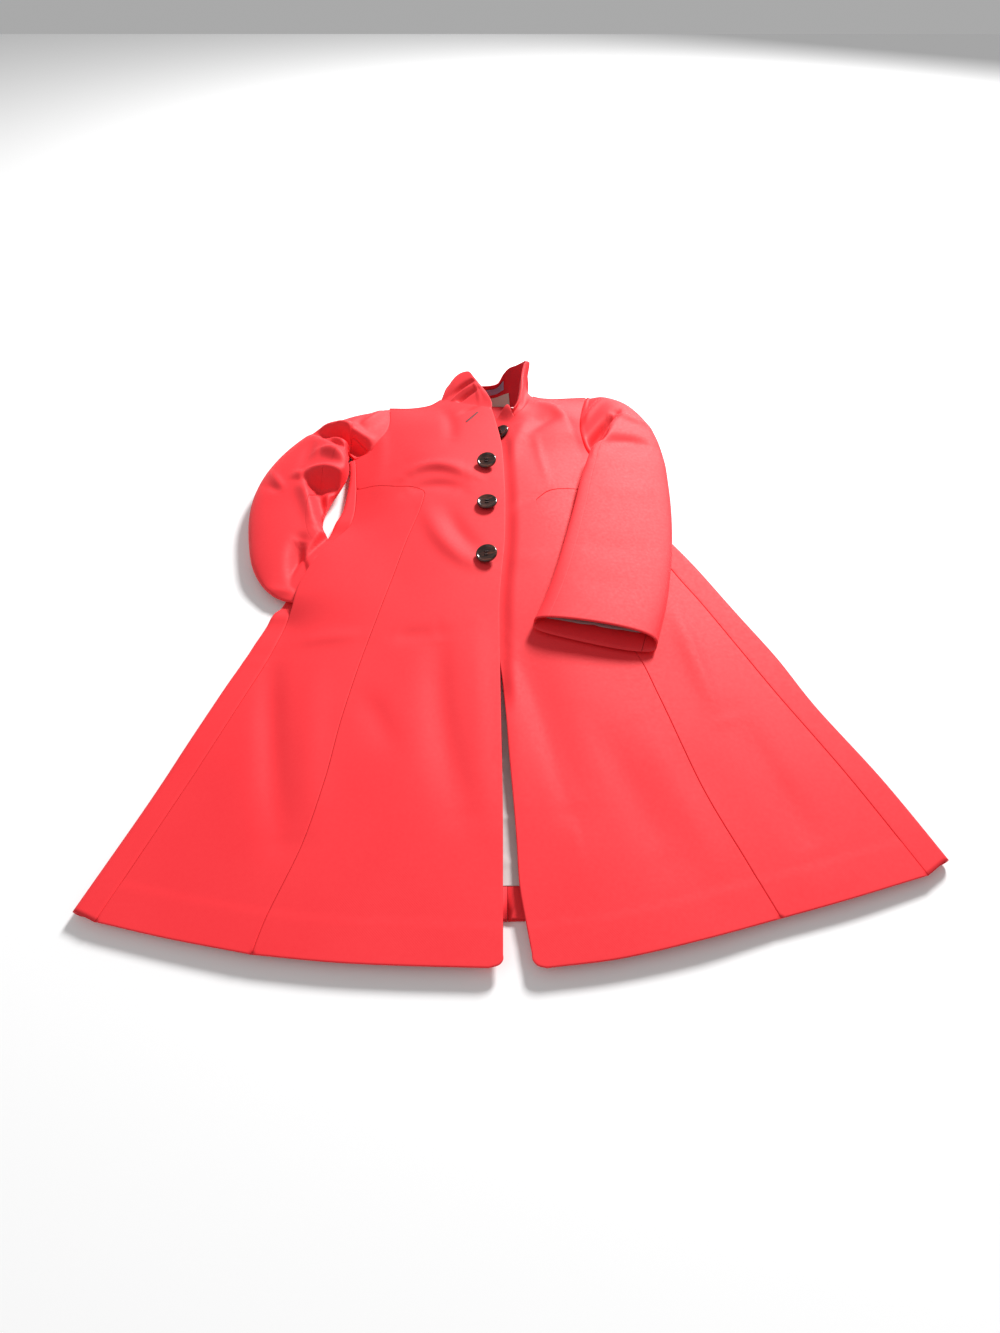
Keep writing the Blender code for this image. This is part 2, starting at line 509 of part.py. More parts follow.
def front_right(mat):
    hem = spaced(HEM_FRONT_RIGHT, EDGE_STEP)
    corner = np.array([(-0.0010, 0.0025), (0.0030, 0.0070), (0.0030, 0.0120)])
    before = [hem, np.vstack([hem[-1:], corner]), spaced(FRONT_EDGE_RIGHT, EDGE_STEP)]
    start = len(outline_of(*before))
    outline = outline_of(
        *before, matched(NECKLINE_RIGHT, NECK_POINTS), spaced(SHOULDER_RIGHT, 0.022),
        spaced(ARMHOLE_RIGHT, ARM_STEP), spaced(CHEST_SIDE_RIGHT[::-1], 0.022),
        spaced(UNDERBUST_RIGHT[::-1], 0.018), spaced(PRINCESS_RIGHT[::-1], EDGE_STEP))
    collar = dict(points=list(range(start, start + NECK_POINTS + 1)),
                  form=dict(rim=matched(COLLAR_RIGHT, NECK_POINTS), bow=COLLAR_BOW["right"]))
    return panel("front_right", outline, height_right, CLOTH, mat, grown=collar)


def front_left(mat):
    hem = spaced(HEM_FRONT_LEFT, EDGE_STEP)
    corner = np.array([(0.0280, 0.0120), (0.0285, 0.0070), (0.0330, 0.0020), (0.0410, 0.0)])
    before = [hem, spaced(PRINCESS_LEFT, EDGE_STEP), spaced(UNDERBUST_LEFT, 0.018),
              spaced(CHEST_SIDE_LEFT, 0.022), spaced(ARMHOLE_LEFT[::-1], ARM_STEP),
              spaced(SHOULDER_LEFT[::-1], 0.022)]
    start = len(outline_of(*before))
    outline = outline_of(
        *before, matched(NECKLINE_LEFT[::-1], NECK_POINTS), spaced(NECK_FLAP_LEFT[::-1], 0.008),
        spaced(FRONT_EDGE_LEFT[::-1], EDGE_STEP), corner)
    collar = dict(points=list(range(start, start + NECK_POINTS + 1)),
                  form=dict(rim=matched(COLLAR_LEFT[::-1], NECK_POINTS), bow=COLLAR_BOW["left"]))
    return panel("front_left", outline, height_left, CLOTH, mat, grown=collar, detail=FLAP_DETAIL)


def side_front_right(mat):
    outline = outline_of(
        spaced(HEM_SIDE_RIGHT, EDGE_STEP), spaced(PRINCESS_RIGHT, EDGE_STEP),
        spaced(UNDERBUST_RIGHT, 0.018), spaced(WAIST_RIGHT[::-1], 0.022),
        spaced(POCKET_MOUTH_RIGHT[::-1], 0.022), spaced(SIDE_SEAM_RIGHT[::-1], EDGE_STEP))
    return panel("side_front_right", outline, height_right, CLOTH, mat)


def side_front_left(mat):
    outline = outline_of(
        spaced(HEM_SIDE_LEFT, EDGE_STEP), spaced(SIDE_SEAM_LEFT, EDGE_STEP),
        spaced(UNDERBUST_LEFT[::-1], 0.018), spaced(PRINCESS_LEFT[::-1], EDGE_STEP))
    return panel("side_front_left", outline, height_left, CLOTH, mat)


def turned_strip(fold, seam, seam_top, side, bulge, arc_steps=3):
    """Sections that rise from the floor at the fold and lie back to the seam, as outer and inner grids."""
    along = np.gradient(fold, axis=0)
    out = side * np.stack([along[:, 1], -along[:, 0]], axis=1)
    out /= np.linalg.norm(out, axis=1)[:, None]
    angles = np.linspace(-0.5 * math.pi, 0.5 * math.pi, arc_steps + 1)
    outer_rows, inner_rows = [], []
    for f, n, s, top in zip(fold, out, seam, seam_top):
        middle = 0.5 * top
        end = s + 0.5 * SEAM_GAP * (f - s) / (np.linalg.norm(f - s) + 1e-9)
        for rows, rise, reach in ((outer_rows, middle, min(middle, bulge)),
                                  (inner_rows, middle - CLOTH, min(middle, bulge) - CLOTH)):
            arc = [(*(f + n * reach * math.cos(a)), middle + rise * math.sin(a)) for a in angles]
            lie = [(*(f + (end - f) * t), middle + rise) for t in (0.5, 1.0)]
            rows.append(arc + lie)
    return np.array(outer_rows), np.array(inner_rows)


def back_panel(name, outline, strips, mat):
    """Flat on the floor, turning up along the side and along the shoulder."""
    flat, faces = field_of(outline, 0.055)
    level = np.column_stack([flat, np.zeros(len(flat))])
    patches = [(level, level + (0, 0, CLOTH), [tuple(reversed(f)) for f in faces])]
    for outer, inner in strips:
        quads = grid_faces(*outer.shape[:2])
        facing = np.cross(outer[1, 0] - outer[0, 0], outer[0, 1] - outer[0, 0])
        if facing[2] < 0:
            quads = [tuple(reversed(q)) for q in quads]
        patches.append((outer.reshape(-1, 3), inner.reshape(-1, 3), quads))
    return sewn(name, patches, mat)


def pocket_cap(points, top):
    """Along the pocket's mouth the back strip lies low, under the sleeve that goes in."""
    middle, half = sum(POCKET_BAND) / 2, (POCKET_BAND[1] - POCKET_BAND[0]) / 2
    inside = 1.0 - smooth((np.abs(points[:, 1] - middle) - half + 0.02) / 0.03)
    return top * (1.0 - inside) + np.minimum(top, POCKET_STRIP_TOP) * inside


def joined(*curves):
    """Curves end to end as one open curve."""
    return np.vstack([curve[:-1] for curve in curves] + [curves[-1][-1:]])


def along_fold(fold, seam):
    """Points of the fold line, one beside each point of the seam."""
    lengths = np.concatenate([[0.0], np.cumsum(np.linalg.norm(np.diff(seam, axis=0), axis=1))])
    fine = spaced(fold, 0.004)
    own = np.linspace(0.0, lengths[-1], len(fine))
    return np.stack([np.interp(lengths, own, fine[:, i]) for i in range(2)], axis=1)


def back_right(mat):
    seam = joined(spaced(SIDE_SEAM_RIGHT, EDGE_STEP), spaced(POCKET_MOUTH_RIGHT, 0.022),
                  spaced(WAIST_RIGHT, 0.022), spaced(CHEST_SIDE_RIGHT, 0.022))
    fold = along_fold(FOLD_RIGHT, seam)
    shoulder = spaced(SHOULDER_RIGHT, 0.022)
    shoulder_fold = shoulder + (0.0, 0.0015)
    gap = np.array([0.5 * SEAM_GAP, 0.0])
    centre = matched(BACK_CENTRE, 18) - gap
    outline = np.vstack([
        fold[:1], matched(BACK_HEM_RIGHT[::-1], 8)[1:-1], centre,
        matched(BACK_NECK_RIGHT[::-1], 6)[1:-1], shoulder_fold,
        spaced(ARMHOLE_RIGHT, ARM_STEP)[1:], fold[:0:-1]])
    side = turned_strip(fold, seam, pocket_cap(seam, height_right(seam)), -1.0, 0.0060)
    top = turned_strip(shoulder_fold, shoulder, height_right(shoulder), 1.0, 0.0045)
    return back_panel("back_right", outline, [side, top], mat)


def back_left(mat):
    seam = joined(spaced(SIDE_SEAM_LEFT, EDGE_STEP), spaced(CHEST_SIDE_LEFT, 0.022))
    fold = along_fold(FOLD_LEFT, seam)
    shoulder = spaced(SHOULDER_LEFT, 0.022)
    shoulder_fold = shoulder + (0.0, 0.0015)
    gap = np.array([0.5 * SEAM_GAP, 0.0])
    centre = matched(BACK_CENTRE[::-1], 18) + gap
    outline = np.vstack([
        centre, matched(BACK_HEM_LEFT, 8)[1:-1], fold, spaced(ARMHOLE_LEFT[::-1], ARM_STEP)[:-1],
        shoulder_fold[::-1], matched(BACK_NECK_LEFT[::-1], 6)[1:-1]])
    side = turned_strip(fold, seam, height_left(seam), 1.0, 0.0060)
    top = turned_strip(shoulder_fold, shoulder, height_left(shoulder), -1.0, 0.0045)
    return back_panel("back_left", outline, [side, top], mat)


def flat_sheet(name, outline, low, thickness, mat, step=0.06):
    xy, faces = field_of(outline, step)
    top = np.column_stack([xy, np.full(len(xy), low + thickness)])
    return wall(name, top, top - (0, 0, thickness), faces, mat)


def inner_layers(cloth, satin):
    """The hem's inner band, the lining above it and the neck facing, flat on the back."""
    low = CLOTH + LAYER_GAP
    centre_hem = matched(BACK_HEM_RIGHT, 10)[:-1] + (0.0, 0.0012)
    left_hem = matched(BACK_HEM_LEFT, 10)[:-1] + (0.0, 0.0012)
    rise = np.array([0.0, HEM_TURNUP])
    gap = np.array([0.5 * SEAM_GAP, 0.0])
    flat_sheet("hem_band_right", np.vstack([centre_hem[::-1] - gap, centre_hem + rise - gap]),
               low, CLOTH, cloth)
    flat_sheet("hem_band_left", np.vstack([left_hem + gap, left_hem[::-1] + rise + gap]),
               low, CLOTH, cloth)
    hem = np.vstack([centre_hem[::-1], left_hem[1:]]) + rise + (0.0, 0.0006)
    right = spaced(FOLD_RIGHT, 0.08)[1:] + (0.014, 0.0)
    left = spaced(FOLD_LEFT, 0.08)[1:] - (0.014, 0.0)
    top = np.array([(0.140, 0.744), (0.126, 0.776), (0.119, 0.812), (0.116, 0.850),
                    (0.060, 0.884), (-0.018, 0.890), (-0.100, 0.884), (-0.150, 0.850),
                    (-0.170, 0.790)])
    flat_sheet("back_lining", np.vstack([hem, left, top, right[::-1]]), low, LINING, satin, step=0.085)
    facing = np.array([(0.056, 0.8860), (0.052, 0.9130), (0.036, 0.9300), (0.015, 0.9390),
                       (-0.018, 0.9400), (-0.050, 0.9380), (-0.080, 0.9280), (-0.094, 0.9140),
                       (-0.096, 0.8862), (-0.018, 0.8912)])
    flat_sheet("neck_facing", facing + (0.0, 0.0006), low, CLOTH, cloth)


# Collar

def normals_of(grid):
    n = np.cross(np.gradient(grid, axis=0), np.gradient(grid, axis=1))
    return n / (np.linalg.norm(n, axis=-1, keepdims=True) + 1e-12)


def grown_collar(neck_outer, neck_inner, rim, bow):
    """The collar part of a front, as a patch: from the neckline's two faces up to the rim."""
    t = np.linspace(0.0, 1.0, COLLAR_STEPS + 1)[None, :, None]
    middle = 0.5 * (neck_outer + neck_inner)[:, None] * (1 - t) + rim[:, None] * t
    n = normals_of(middle)
    upward = np.sign((n * (neck_outer - neck_inner)[:, None]).sum())
    n = n * upward
    middle = middle + bow * np.sin(np.pi * t) * n
    outer, inner = middle + 0.5 * COLLAR_CLOTH * n, middle - 0.5 * COLLAR_CLOTH * n
    outer[:, 0], inner[:, 0] = neck_outer, neck_inner
    quads = grid_faces(*outer.shape[:2])
    facing = np.cross(outer[0, 1] - outer[0, 0], outer[1, 0] - outer[0, 0])
    if np.dot(facing, n[0, 0]) < 0:
        quads = [tuple(reversed(q)) for q in quads]
    return outer.reshape(-1, 3), inner.reshape(-1, 3), quads


def back_collar_grid():
    """The back collar's middle surface and its normals, which point to the inside of the neck."""
    base = matched([row["base"] for row in COLLAR_BACK], 18)
    rim = matched([row["rim"] for row in COLLAR_BACK], 18)
    t = np.linspace(0.0, 1.0, COLLAR_STEPS + 1)[None, :, None]
    grid = base[:, None] * (1 - t) + rim[:, None] * t
    n = normals_of(grid)
    n *= -np.sign((n.mean((0, 1)) * np.array([0.0, 1.0, -0.3])).sum())
    return grid - COLLAR_BOW["back"] * np.sin(np.pi * t) * n, n


def collar_back(mat):
    grid, n = back_collar_grid()
    half = 0.5 * COLLAR_CLOTH
    return shell("collar_back", grid - half * n, grid + half * n, mat)


def trim_on_collar(name, left, right, low, high, mat):
    """A small flat piece that lies on the inside of the back collar."""
    grid, n = back_collar_grid()
    rows, steps = grid.shape[0] - 1, grid.shape[1] - 1
    middle = grid[:, steps // 2, 0]
    patch = []
    for x in np.linspace(left, right, 5):
        u = float(np.interp(x, middle, np.arange(rows + 1)))
        column = []
        for share in np.linspace(low, high, 3):
            v = share * steps
            r, c = min(int(u), rows - 1), min(int(v), steps - 1)
            fu, fv = u - r, v - c
            point, normal = (
                (g[r, c] * (1 - fu) + g[r + 1, c] * fu) * (1 - fv)
                + (g[r, c + 1] * (1 - fu) + g[r + 1, c + 1] * fu) * fv for g in (grid, n))
            column.append(point + normal / np.linalg.norm(normal) * (0.5 * COLLAR_CLOTH + 0.0008))
        patch.append(column)
    patch = np.array(patch)
    n = normals_of(patch)
    n *= -np.sign(n[..., 1].mean())
    return shell(name, patch + TRIM_THICK * n, patch, mat)


# Sleeves

def lens(table, rows, armhole, height, slant, inset):
    """Rings from the armhole to the cuff, all round at this depth inside the outer face."""
    angle = 2 * math.pi * np.arange(SLEEVE_AROUND) / SLEEVE_AROUND
    share = 0.5 * (1 - np.cos(angle))
    crest = np.sign(np.sin(angle)) * np.abs(np.sin(angle))**SLEEVE_CREST
    outer = matched([row["outer"] for row in table], rows)
    inner = matched([row["inner"] for row in table], rows)
    reach = matched([(row["up"], row["down"]) for row in table], rows) - inset
    line = matched(armhole, 40)
    start = np.stack([np.interp(share, np.linspace(0, 1, 41), line[:, i]) for i in range(2)], axis=1)
    high = height(start) - 0.0006
    grid = np.zeros((rows + 2, SLEEVE_AROUND, 3))
    grid[0, :, :2] = start
    steep = np.sign(crest) * np.abs(crest)**0.3
    grid[0, :, 2] = 0.5 * high + 0.0004 + (0.5 * high - 0.0004 - inset) * steep
    for i, (a, b, (up, down)) in enumerate(zip(outer, inner, reach)):
        along = (b - a) / np.linalg.norm(b - a)
        ends = a + along * inset, b - along * inset
        grid[i + 1] = ends[0] * (1 - share)[:, None] + ends[1] * share[:, None]
        grid[i + 1, :, 2] += np.where(crest > 0, up, down) * crest
    forward = grid[-1].mean(0) - grid[-3].mean(0)
    forward[2] = 0.0
    forward /= np.linalg.norm(forward)
    grid[-1] += forward * (slant["under"] * np.clip(-crest, 0.0, 1.0))[:, None]
    grid[-1] -= forward * (slant["top"] * np.clip(crest, 0.0, 1.0) * (1.0 - share))[:, None]
    head = [grid[:1] * (1 - t) + grid[1:2] * t for t in (0.0, 0.25, 0.6)]
    return np.concatenate(head + [grid[1:]]), crest


def sleeve_shift(grid, crest, ground, ceiling, folds):
    """How far each point rises or sinks for the folds, the ground below and the cloth above."""
    flat = grid.reshape(-1, 3)
    crests = np.tile(crest, len(grid))
    z = flat[:, 2] + fold_height(flat[:, :2], folds) * np.clip(crests, 0.0, 1.0)
    least = ground(flat[:, :2]) + 0.0040 + np.where(crests > 0, 0.0040, 0.0035) * crests
    z = np.maximum(np.minimum(z, ceiling(flat[:, :2])), least)
    shift = (z - flat[:, 2]).reshape(grid.shape[:2])
    shift[0] = 0.0
    return shift


def sleeve(side, table, armhole, height, slant, ground, ceiling, folds, seams, rows, cloth):
    grid, crest = lens(table, rows, armhole, height, slant, 0.0)
    shift = sleeve_shift(grid, crest, ground, ceiling, folds)
    layers = []
    for inset in (0.0, CLOTH, CLOTH + 0.0008, CLOTH + 0.0008 + LINING):
        layer = lens(table, rows, armhole, height, slant, inset)[0]
        layer[..., 2] += shift
        layers.append(layer)
    spans = {"top": list(range(seams[1], SLEEVE_AROUND)) + list(range(seams[0] + 1)),
             "under": list(range(seams[0], seams[1] + 1))}
    for name, span in spans.items():
        outer, inner = layers[0][:, span].copy(), layers[1][:, span].copy()
        for edge, beside in ((0, 1), (-1, -2)):
            for layer in (outer, inner):
                step = layer[:, beside] - layer[:, edge]
                inset = np.where(np.arange(len(layer)) < HEAD_ROWS, *SLEEVE_SEAM_INSET)[:, None]
                layer[:, edge] += inset * step / np.linalg.norm(step, axis=1)[:, None]
        shell(f"sleeve_{side}_{name}", outer, inner, cloth)
    return layers


def cuff_lining(layers, satin):
    """The sleeve lining that shows in the cuff: a tube set back from its edge by one row."""
    outer, inner = layers[2][-5:-1], layers[3][-5:-1]
    around = SLEEVE_AROUND
    faces = []
    for r in range(len(outer) - 1):
        for c in range(around):
            d = (c + 1) % around
            faces.append((r * around + c, r * around + d, (r + 1) * around + d, (r + 1) * around + c))
    return wall("sleeve_left_lining", outer.reshape(-1, 3), inner.reshape(-1, 3), faces, satin)


def distance_outside(xy, outline):
    """How far each point lies outside a closed outline, less than nothing inside it."""
    a, b = outline, np.roll(outline, -1, axis=0)
    run = b - a
    share = np.clip(((xy[:, None] - a[None]) * run[None]).sum(-1) / (run**2).sum(-1), 0, 1)
    near = np.linalg.norm(xy[:, None] - a[None] - share[..., None] * run[None], axis=-1).min(1)
    crossings = ((a[None, :, 1] > xy[:, None, 1]) != (b[None, :, 1] > xy[:, None, 1])) & (
        xy[:, None, 0] < run[None, :, 0] * (xy[:, None, 1] - a[None, :, 1])
        / (run[None, :, 1] + 1e-12) + a[None, :, 0])
    return np.where(crossings.sum(1) % 2 == 1, -near, near)


def ground_right(xy):
    """What the wearer's right sleeve lies on: the floor, or the turned-up side of the back."""
    side = spaced(FOLD_RIGHT, 0.02) - (0.0060, 0.0)
    body = np.vstack([side[::-1], [(-0.391, 0.05), (0.0, 0.05), (0.0, 0.77)]])
    over = 1.0 - smooth((distance_outside(xy, body) - 0.001) / 0.010)
    pocket = 1.0 - smooth((xy[:, 1] - 0.600) / 0.030)
    top = POCKET_STRIP_TOP * pocket + 0.0145 * (1.0 - pocket) + 0.0006
    return 0.0004 + top * over


def ceiling_right(xy):
    """Where the sleeve goes into the pocket it stays below the front's underside."""
    mouth = spline(POCKET_MOUTH_RIGHT, 8)
    edge = np.interp(xy[:, 1], mouth[:, 1], mouth[:, 0])
    under = smooth((xy[:, 0] - edge + 0.032) / 0.016) * (xy[:, 1] < 0.612)
    low = height_right(xy) - 0.0036
    return np.where(under > 0, low * under + 0.06 * (1 - under), 1.0)


def ground_left(xy):
    """What the wearer's left sleeve lies on: the fronts, and past the coat's side the floor."""
    side = spaced(FOLD_LEFT, 0.02) + (0.0060, 0.0)
    body = np.vstack([[(0.0, 0.10)], side, spaced(ARMHOLE_LEFT[::-1], 0.02), [(0.0, 0.93)]])
    over = 1.0 - smooth((distance_outside(xy, body) - 0.001) / 0.016)
    top = np.maximum(height_left(xy), 0.0135) + SLEEVE_CLEAR
    return 0.0004 + top * over


def open_above(xy):
    return np.full(len(xy), 1.0)


# Small pieces

def button(name, at, lean, height, mat):
    """A shallow dish of horn with a raised rim, on a short stalk of thread, turned as one."""
    r, segments = 0.5 * BUTTON_DIAMETER, 18
    leaning = math.hypot(*lean)
    stalk = max(SHANK_LENGTH, r * math.sin(math.radians(leaning)) + 0.0008)
    profile = [
        (0.0, 0.0), (SHANK_RADIUS, 0.0), (SHANK_RADIUS, stalk), (0.78 * r, stalk),
        (r, stalk + 0.0020), (0.985 * r, stalk + 0.0036), (0.90 * r, stalk + BUTTON_THICK),
        (0.60 * r, stalk + 0.0031), (0.0, stalk + 0.0024),
    ]
    points, faces = [(0.0, 0.0, 0.0)], []
    for radius, z in profile[1:-1]:
        points += [(radius * math.cos(2 * math.pi * k / segments),
                    radius * math.sin(2 * math.pi * k / segments), z) for k in range(segments)]
    points.append((0.0, 0.0, profile[-1][1]))
    last = len(points) - 1
    for k in range(segments):
        j = (k + 1) % segments
        faces.append((0, 1 + j, 1 + k))
        for ring in range(len(profile) - 3):
            a, b = 1 + ring * segments, 1 + (ring + 1) * segments
            faces.append((a + k, a + j, b + j, b + k))
        top = 1 + (len(profile) - 3) * segments
        faces.append((top + k, top + j, last))
    xy, d = np.array([at]), 0.012
    east = float((height(xy + (d, 0)) - height(xy - (d, 0)))[0]) / (2 * d)
    north = float((height(xy + (0, d)) - height(xy - (0, d)))[0]) / (2 * d)
    turn = Vector((0, 0, 1)).rotation_difference(Vector((-east, -north, 1.0))).to_matrix()
    turn = turn @ Matrix.Rotation(math.radians(lean[0]), 3, "X")
    turn = turn @ Matrix.Rotation(math.radians(lean[1]), 3, "Y")
    lift = 0.0005 + SHANK_RADIUS * math.sin(math.radians(leaning))
    base = Vector((*at, float(height(xy)[0]) + lift))
    return new_object(name, [base + turn @ Vector(p) for p in points], faces, mat)


def place_on_origin():
    """The bottom centre of the whole coat's box goes to the origin."""
    meshes = [obj.data for obj in bpy.data.objects if obj.type == "MESH"]
    points = np.array([tuple(v.co) for mesh in meshes for v in mesh.vertices])
    low, high = points.min(0), points.max(0)
    shift = -np.array([0.5 * (low[0] + high[0]), 0.5 * (low[1] + high[1]), low[2]])
    for mesh in meshes:
        mesh.transform(Matrix.Translation(Vector(shift)))
        mesh.update()
    print("moved by", shift)
    return shift


def main():
    clear_scene()
    coat = material("coat_cloth", COAT, 0.75)
    satin = material("lining_satin", SATIN, 0.40)
    horn = material("button_horn", HORN, 0.30)
    ribbon = material("loop_ribbon", RIBBON, 0.60)
    label = material("label_woven", LABEL_CLOTH, 0.70)
    front_right(coat)
    front_left(coat)
    side_front_right(coat)
    side_front_left(coat)
    back_right(coat)
    back_left(coat)
    inner_layers(coat, satin)
    collar_back(coat)
    sleeve(
        "right", SLEEVE_RIGHT, [(x - 0.0006, y) for x, y in ARMHOLE_RIGHT], height_right,
        dict(under=0.0, top=0.0), ground_right, ceiling_right, FOLDS_SLEEVE_RIGHT,
        SLEEVE_SEAMS_RIGHT, 17, coat)
    layers = sleeve(
        "left", SLEEVE_LEFT, [(x + 0.0006, y) for x, y in ARMHOLE_LEFT], height_left,
        CUFF_SLANT, ground_left, open_above, FOLDS_SLEEVE_LEFT, SLEEVE_SEAMS_LEFT, 15, coat)
    cuff_lining(layers, satin)
    for row in BUTTONS:
        under = height_left if row["name"] == "button_top" else height_right
        button(row["name"], row["at"], row["lean"], under, horn)
    trim_on_collar("hang_loop", mat=ribbon, **LOOP)
    trim_on_collar("neck_label", mat=label, **LABEL)
    return place_on_origin()


SHIFT = main()
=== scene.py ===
# %% [markdown]
# # A funnel neck coat, laid flat
# The coat lies on its back on a floor with its front up. One cuff is in its pocket and the other
# sleeve lies across the front. The CAD solids already have the right form and size, so each piece
# here is a finer wall of cloth on that form: rounded edges, seams pressed into grooves, folds,
# and a material with a weave.

# %% Load the frame
import math

import bpy
import numpy as np
from mathutils import Matrix, Vector
from mathutils.geometry import delaunay_2d_cdt


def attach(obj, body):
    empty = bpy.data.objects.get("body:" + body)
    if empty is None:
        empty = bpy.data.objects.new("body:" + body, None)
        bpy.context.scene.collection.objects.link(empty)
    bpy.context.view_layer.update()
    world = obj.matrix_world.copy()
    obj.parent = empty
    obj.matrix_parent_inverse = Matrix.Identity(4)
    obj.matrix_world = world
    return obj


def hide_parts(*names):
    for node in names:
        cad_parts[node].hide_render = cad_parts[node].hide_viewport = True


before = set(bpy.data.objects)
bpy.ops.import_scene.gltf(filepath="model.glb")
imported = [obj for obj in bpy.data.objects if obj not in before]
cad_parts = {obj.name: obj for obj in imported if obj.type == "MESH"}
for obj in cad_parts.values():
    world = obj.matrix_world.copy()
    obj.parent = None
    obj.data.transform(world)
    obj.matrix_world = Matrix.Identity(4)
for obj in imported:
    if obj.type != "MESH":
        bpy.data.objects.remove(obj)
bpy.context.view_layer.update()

print("solids in the frame:", len(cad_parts))

# %% [markdown]
# ## Sizes
# A garment is drawn from its own marks, so the tables below count x from near the centre front and
# y from the front hem, in metres. ORIGIN is that corner seen from the frame, and every finished
# point is moved by it once, at the end of each piece. One set of named sizes keeps them in step.

# %% Sizes of the cloth and its details
ORIGIN = np.array([-0.02009612, -0.49337829, 0.0])
CLOTH = 0.0022           # the wool crepe with its fused backing
COLLAR_CLOTH = 0.0030    # cloth and facing together
LINING = 0.0010
LAYER_GAP = 0.0005       # between a flat layer and the one on it
SEAM_GAP = 0.0004        # what is left open between two sewn edges
EDGE_ROUND = 0.0011      # how softly a free edge turns
SEAM_ROUND = 0.0008      # how softly an edge turns down into a seam
FINE = 0.0045            # side of the triangles that carry folds
EDGE_STEP = 0.0045       # points along every outline
INNER_TURN = 0.93        # how much of the outer face's turn at an edge the inner face takes
FLOOR_CLEAR = 0.0004     # what stays open between a sleeve and the floor
print("cloth", 1000 * CLOTH, "mm, lining", 1000 * LINING, "mm")

# %% [markdown]
# ## Curves
# A pattern piece is cut along smooth curves through a few marks. A cubic through every four marks
# does the same: it goes through each mark and needs no handles. `spaced` cuts it into equal steps,
# which gives even triangles, and `matched` into equal shares of its marks, for two curves that run
# side by side.

# %% Smooth curves through marks
CURVE_STEPS = 24         # between two marks, before a curve is cut into its own steps


def smooth(t):
    """From 0 to 1 without a kink at either end."""
    t = np.clip(t, 0.0, 1.0)
    return t * t * (3.0 - 2.0 * t)


def spline(points, steps):
    """The curve through the points, with this many steps between each two."""
    p = np.array(points, float)
    ends = np.vstack([2 * p[0] - p[1], p, 2 * p[-1] - p[-2]])
    t = np.linspace(0.0, 1.0, steps, endpoint=False)[:, None]
    runs = []
    for a, b, c, d in zip(ends, ends[1:], ends[2:], ends[3:]):
        runs.append(0.5 * (2 * b + (c - a) * t + (2 * a - 5 * b + 4 * c - d) * t**2
                           + (3 * b - a - 3 * c + d) * t**3))
    return np.vstack(runs + [p[-1:]])


def read_off(wanted, places, rows):
    """Each column of a table of rows, read off at the wanted places."""
    return np.stack([np.interp(wanted, places, rows[:, i]) for i in range(rows.shape[1])], axis=1)


def spaced(points, step):
    """The curve through the points, cut into equal lengths of about this step."""
    fine = spline(points, CURVE_STEPS)
    along = np.concatenate([[0.0], np.cumsum(np.linalg.norm(np.diff(fine, axis=0), axis=1))])
    count = max(1, round(along[-1] / step))
    return read_off(np.linspace(0.0, along[-1], count + 1), along, fine)


def matched(points, count):
    """The curve through the points, as count + 1 points at equal shares of the table's rows."""
    fine = spline(points, CURVE_STEPS)
    return read_off(np.linspace(0.0, len(fine) - 1.0, count + 1), np.arange(len(fine)), fine)


def joined(*curves):
    """Curves end to end as one, without the doubled points where they meet."""
    return np.vstack([curve[:-1] for curve in curves] + [curves[-1][-1:]])


print("a curve through 3 marks:", len(spline([(0, 0), (1, 1), (2, 0)], CURVE_STEPS)), "points")

# %% [markdown]
# ## The pattern
# These are the marks of every edge and seam, read from the hem towards the collar. They are the
# coat's drawing: all pieces below read their outlines from here.

# %% Front edges, as (x, y)
FRONT_EDGE_RIGHT = [
    (0.003, 0.012), (0.003, 0.061), (0.003, 0.165), (0.001, 0.290), (0.000, 0.378), (0.000, 0.442),
    (0.003, 0.494), (0.007, 0.550), (0.008, 0.621), (0.007, 0.678), (0.004, 0.755), (0.001, 0.783),
    (-0.004, 0.816), (-0.0135, 0.868),
]
FRONT_EDGE_LEFT = [
    (0.028, 0.012), (0.024, 0.036), (0.018, 0.075), (0.016, 0.118), (0.0135, 0.160),
    (0.0095, 0.217), (0.0065, 0.268), (0.0025, 0.320), (-0.003, 0.370), (-0.009, 0.430),
    (-0.020, 0.490), (-0.034, 0.540), (-0.040, 0.610), (-0.041, 0.680), (-0.040, 0.740),
    (-0.036, 0.790), (-0.028, 0.828), (-0.012, 0.850),
]
NECK_FLAP_LEFT = [(-0.012, 0.850), (-0.002, 0.860), (0.005, 0.869), (0.0105, 0.8745),
                  (0.0150, 0.8725), (0.019, 0.862), (0.0235, 0.853)]
CORNER_RIGHT = [(-0.010, 0.000), (-0.0010, 0.0025), (0.0030, 0.0070), (0.003, 0.012)]
CORNER_LEFT = [(0.028, 0.012), (0.0285, 0.0070), (0.0330, 0.0020), (0.041, 0.000)]
print("front edges:", len(FRONT_EDGE_RIGHT), "and", len(FRONT_EDGE_LEFT), "marks")

# %% [markdown]
# The neckline, shoulder and armhole close each front at the top. The fronts are a mirrored pair in
# the pattern, but each lies its own way on the floor, so both have marks of their own.

